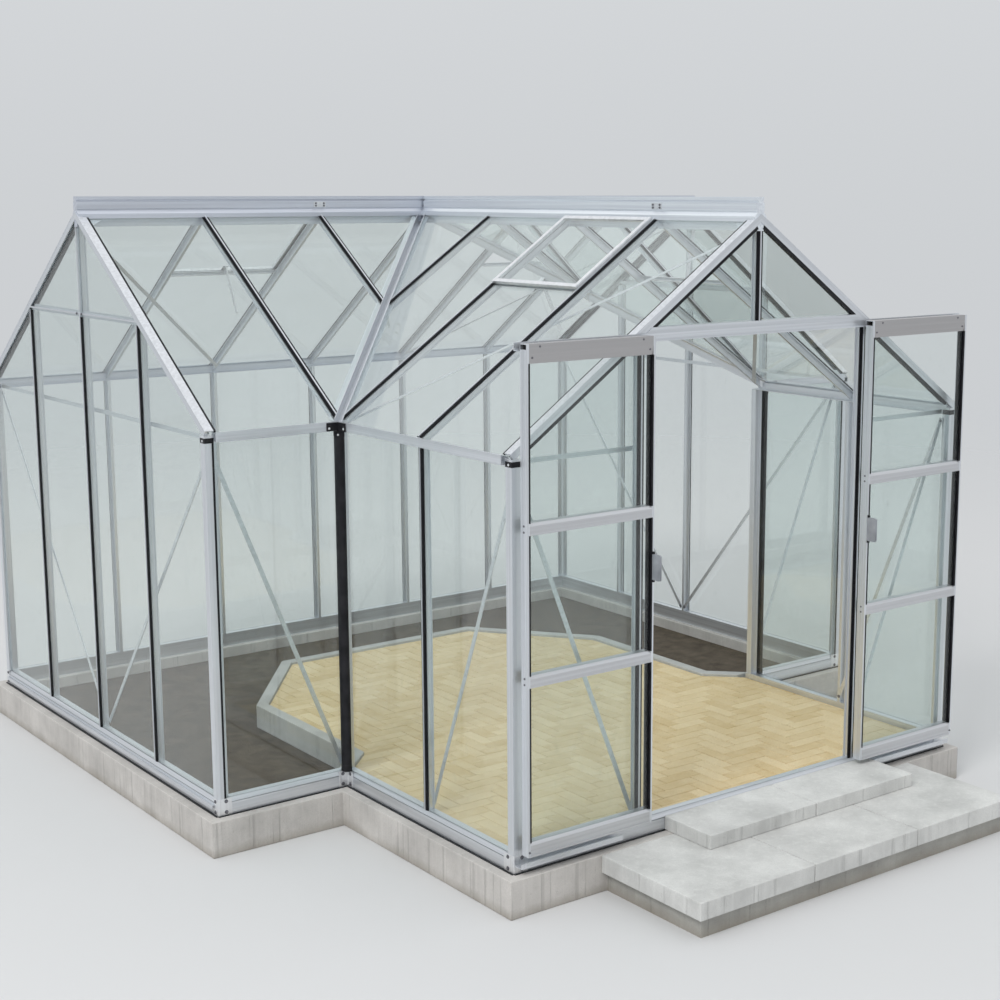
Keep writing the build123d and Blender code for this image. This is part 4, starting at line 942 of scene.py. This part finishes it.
def add_gutter_joiners(bolts):
    """Black joiners over the gutters' ends in the inner corners, and bolts on the gables' crossbars."""
    mesh, screws = bmesh.new(), bmesh.new()
    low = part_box("side_gutters")[0]
    for side in (1, -1):
        out = RIGHT * side
        corner = Vector((side * GUTTER_FACE, -GUTTER_FACE, low.z + JOINER_LIFT))
        add_joiner_side(mesh, screws, corner, out, FRONT, JOINER_SHORT)
        add_joiner_side(mesh, screws, corner, FRONT, out, JOINER_LONG)
    for side in (1, -1):
        reach = WALL + COVER_WIDTH * COVER_SCREW_OUT
        place = Vector((side * reach, -reach, low.z - COVER_SCREW_DROP))
        screw(screws, place, Vector((side, -1, 0)).normalized())
    finish_piece("gutter_joiners", mesh, "house", [black])
    finish_piece("joiner_screws", screws, "house", [bright])
    crossbar_low, crossbar_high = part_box("gable_crossbars")
    height = (crossbar_low.z + crossbar_high.z) / 2
    for side in (1, -1):
        for y in (-CROSSBAR_BOLT, CROSSBAR_BOLT):
            bolt(bolts, Vector((side * crossbar_high.x, y, height)), RIGHT * side, *MIDDLE_BOLT)


# Trim of the posts
POST = 0.042
EDGE_WIDE, EDGE_PROUD = 0.009, 0.002
LID_LOW, LID_THICK, LID_LAP = 0.0225, 0.0085, 0.001
POST_SCREW_RISE = 0.009


def add_post_trim():
    """Black strips along the eaves' corner posts, and metal lids with a screw on the posts' caps."""
    edges, lids, screws = bmesh.new(), bmesh.new(), bmesh.new()
    low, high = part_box("post_caps")
    for side in (1, -1):
        out = RIGHT * side
        for wall in (FRONT, BACK):
            corner = out * (high.x - POST + EDGE_WIDE) + wall * HALF + UP * (GROUND_TOP + RAIL_HIGH)
            plate(edges, corner, out * -EDGE_WIDE, UP * (low.z - corner.z), wall, EDGE_PROUD, FINE_EDGE)
        for x, y, end in ((high.x, high.y, 1), (high.x, -high.y, -1), (high.y, low.y, -1)):
            corner = Vector((side * (x + LID_LAP), y + LID_LAP * end, low.z + LID_LOW))
            wide, deep = out * -(POST + 2 * LID_LAP), BACK * -end * (POST + 2 * LID_LAP)
            plate(lids, corner, wide, deep, UP, LID_THICK, 0.0012)
            middle = Vector((side * x, y - end * POST / 2, low.z + POST_SCREW_RISE))
            screw(screws, middle, out, LARGE_SCREW)
    finish_piece("post_strips", edges, "house", [black])
    finish_piece("post_lids", lids, "house", [plain])
    finish_piece("post_screws", screws, "house", [bright])


# Stays of the vents
STAY_WIDE, STAY_MARGIN, STAY_GROWTH = 0.018, 0.001, 1.55


def add_stays():
    """The vents' stays as wide as the real ones, with slots in place of their round holes."""
    mesh = bmesh.new()
    mesh.from_mesh(nodes["vent_stays"].data)
    low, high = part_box("vent_stays")
    for vertex in mesh.verts:
        place = vertex.co
        if abs(place.x) > high.x - STAY_WIDE - STAY_MARGIN:
            middle = (high.x - STAY_WIDE / 2) * (1 if place.x > 0 else -1)
            place.x = middle + (place.x - middle) * STAY_GROWTH
        else:
            middle = low.y + STAY_WIDE / 2
            place.y = middle + (place.y - middle) * STAY_GROWTH
    made = finish_piece("wide_stays", mesh, "house", [bright])
    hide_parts("vent_stays")


# Trim and fixings of the doors
PANE_HEIGHTS = ((0.304, 0.931), (0.979, 1.531), (1.579, BOARD_LOW))
BACK_LINING, FRONT_LINING = (-2.603, 0.004, 0.0), (-2.6375, 0.0075, 0.003)
LINING_WIDE = 0.003
RAIL_MIDDLES, RAIL_SCREW_GAP = (0.795, 1.395), 0.012
STILE_SCREW_IN = 0.021
BOARD_SCREWS, BOARD_SCREW_DROP = (0.063, 0.571), 0.011
EDGE_SCREWS, EDGE_SCREW_DROP, EDGE_SCREW_IN = (0.028, 0.606), 0.052, 0.0018
FOOT_BOLT_IN, FOOT_BOLT_RISE = 0.006, 0.02
HANDLE_SHADE_BLOCK, HANDLE_GAP = (0.009, 0.010, 0.010), 0.004


def add_door_linings(hand, name):
    """Black linings at the back and the front edges of a door's panes."""
    mesh = bmesh.new()
    for low, high in PANE_HEIGHTS:
        for edge, way in ((DOOR_INNER + DOOR_STILE, 1), (DOOR_OUTER - DOOR_STILE, -1)):
            for start, depth, cover in (BACK_LINING, FRONT_LINING):
                corner = Vector((hand * (edge - way * cover), start, low))
                across = RIGHT * hand * way * (LINING_WIDE + cover)
                plate(mesh, corner, across, BACK * depth, UP, high - low, 0.0003)
    finish_piece(name + "_linings", mesh, name, [black])


def add_door_fixings(hand, name):
    """Screws of one door, and black blocks just above and below its handle that paint the shade there."""
    low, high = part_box(name + "_frame")
    screws, shade_blocks = bmesh.new(), bmesh.new()
    rows = ((BOARD_SCREWS, BOARD_SCREW_DROP, 0.0), (EDGE_SCREWS, EDGE_SCREW_DROP, EDGE_SCREW_IN))
    for reaches, drop, back in rows:
        for reach in reaches:
            place = Vector((hand * (DOOR_INNER + reach), back - DOOR_FRONT, high.z - drop))
            screw(screws, place, FRONT)
    for middle in RAIL_MIDDLES:
        for rise in (-RAIL_SCREW_GAP, RAIL_SCREW_GAP):
            place = UP * (GROUND_TOP + middle + rise) + BACK * (STILE_SCREW_IN - DOOR_FRONT)
            screw(screws, place + RIGHT * hand * DOOR_OUTER, RIGHT * hand)
            screw(screws, place + RIGHT * hand * DOOR_INNER, RIGHT * -hand)
    foot = Vector((hand * (DOOR_OUTER - FOOT_BOLT_IN), -DOOR_FRONT, low.z + FOOT_BOLT_RISE))
    bolt(screws, foot, FRONT, *SMALL_BOLT)
    # Black blocks just above and below the handle: painted shade on the stile.
    wide, tall, deep = HANDLE_SHADE_BLOCK
    handle_low, handle_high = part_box(name + "_handle")
    middle = (handle_low.x + handle_high.x) / 2
    for height in (handle_low.z - HANDLE_GAP, handle_high.z + HANDLE_GAP):
        start = Vector((middle - wide / 2, -DOOR_FRONT, height - tall / 2))
        plate(shade_blocks, start, RIGHT * wide, UP * tall, FRONT, deep, 0.001)
    finish_piece(name + "_screws", screws, name, [dark_steel_and_shade])
    finish_piece(name + "_handle_shade_blocks", shade_blocks, name, [black])


HANDS = ((-1, "left_door"), (1, "right_door"))

add_pavers()
house_bolts = add_corner_plates()
add_ridge_plates(house_bolts)
add_crossing_bolts(house_bolts)
add_verge_trim()
add_base_strip()
add_cover_collars()
add_gutter_joiners(house_bolts)
add_post_trim()
add_stays()
for hand, name in HANDS:
    add_door_linings(hand, name)
add_brace_bolts(house_bolts)
finish_piece("house_bolts", house_bolts, "house", [dark_steel_and_shade])
for hand, name in HANDS:
    add_door_fixings(hand, name)
add_cast("plinth", plinth_mesh())
for node in ("lower_step", "upper_step"):
    add_cast(node, node_mesh(node))
add_cast("bed_kerbs", kerb_mesh())

# Camera, floor, sky and lamp
CAMERA_PLACE = (-4.9738, -7.6845, 2.8152)
CAMERA_DOWN, CAMERA_TURN = 9.843, -37.717
LENS, SENSOR = 60.73, 36.0
SHIFT_X, SHIFT_Y = -0.0674, -0.0147
CLIP_END = 200.0
FLOOR_SIZE, FLOOR_TONE = 60, (0.63, 0.63, 0.63)
FADE_START, FADE_END = 4.0, 15.0
SKY_START, SKY_END = -0.15, 0.95
SKY_LOW = (0.60, 0.62, 0.64, 1.0)
SKY_HIGH = (0.96, 0.98, 1.0, 1.0)
KEY_PLACE, KEY_TARGET = Vector((-14.4, -8.6, 15.4)), Vector((0, -0.5, 1))
KEY_SIZE, KEY_POWER = 7.2, 1950
PANE_BOUNCES = 32


def add_camera():
    """Camera at the photograph's viewing angle."""
    data = bpy.data.cameras.new("camera")
    camera = bpy.data.objects.new("camera", data)
    bpy.context.scene.collection.objects.link(camera)
    camera.location = CAMERA_PLACE
    camera.rotation_euler = (radians(90 - CAMERA_DOWN), 0, radians(CAMERA_TURN))
    data.lens = LENS
    data.sensor_width = SENSOR
    data.shift_x = SHIFT_X
    data.shift_y = SHIFT_Y
    data.clip_end = CLIP_END
    bpy.context.scene.camera = camera


def stage_material(name, tone):
    """Pale matt floor that fades out far from the part, so that no horizon shows."""
    graph = Graph(name)
    place = graph.place()
    clouds = graph.noise(place, 0.7, 3.0)
    colour = graph.blend(graph.spread(clouds, 0.3, 0.7, 0.0, 0.25), tone, times(tone, 0.98))
    matt = graph.shader(colour, 0.95)
    clear = graph.node("ShaderNodeBsdfTransparent").outputs[0]
    far = graph.node("ShaderNodeVectorMath", {0: place}, operation="LENGTH").outputs["Value"]
    inputs = {"Value": far, 1: FADE_START, 2: FADE_END}
    fade = graph.node("ShaderNodeMapRange", inputs, interpolation_type="SMOOTHSTEP").outputs["Result"]
    mixed = graph.node("ShaderNodeMixShader", {0: fade, 1: matt, 2: clear})
    return graph.finish(mixed.outputs[0])


def add_floor():
    """Pale floor that the part stands on."""
    bpy.ops.mesh.primitive_plane_add(size=FLOOR_SIZE, location=(0, 0, 0))
    floor = bpy.context.object
    floor.name = "studio_floor"
    floor.data.materials.append(stage_material("studio_floor", FLOOR_TONE))


def add_key_lamp():
    """Soft square lamp, far out at the upper left."""
    data = bpy.data.lights.new("key", "AREA")
    data.shape = "SQUARE"
    data.size = KEY_SIZE
    data.energy = KEY_POWER
    lamp = bpy.data.objects.new("key", data)
    bpy.context.scene.collection.objects.link(lamp)
    lamp.location = KEY_PLACE
    lamp.rotation_euler = (KEY_TARGET - KEY_PLACE).to_track_quat("-Z", "Y").to_euler()
    lamp.visible_glossy = False


def add_sky():
    """Plain studio sky: bright overhead and softly dimmer toward and below the horizon."""
    world = bpy.data.worlds.new("studio")
    bpy.context.scene.world = world
    world.use_nodes = True
    tree = world.node_tree
    tree.nodes.clear()
    way = tree.nodes.new("ShaderNodeTexCoord")
    split = tree.nodes.new("ShaderNodeSeparateXYZ")
    tree.links.new(way.outputs["Generated"], split.inputs[0])
    rise = tree.nodes.new("ShaderNodeMapRange")
    rise.interpolation_type = "SMOOTHSTEP"
    rise.inputs[1].default_value = SKY_START
    rise.inputs[2].default_value = SKY_END
    tree.links.new(split.outputs[2], rise.inputs["Value"])
    shade = tree.nodes.new("ShaderNodeMix")
    shade.data_type = "RGBA"
    shade.inputs[6].default_value = SKY_LOW
    shade.inputs[7].default_value = SKY_HIGH
    tree.links.new(rise.outputs["Result"], shade.inputs[0])
    background = tree.nodes.new("ShaderNodeBackground")
    tree.links.new(shade.outputs[2], background.inputs["Color"])
    output = tree.nodes.new("ShaderNodeOutputWorld")
    tree.links.new(background.outputs[0], output.inputs["Surface"])


add_camera()
add_floor()
add_key_lamp()
add_sky()
bpy.context.scene.view_settings.view_transform = "Standard"
bpy.context.scene.cycles.transparent_max_bounces = PANE_BOUNCES
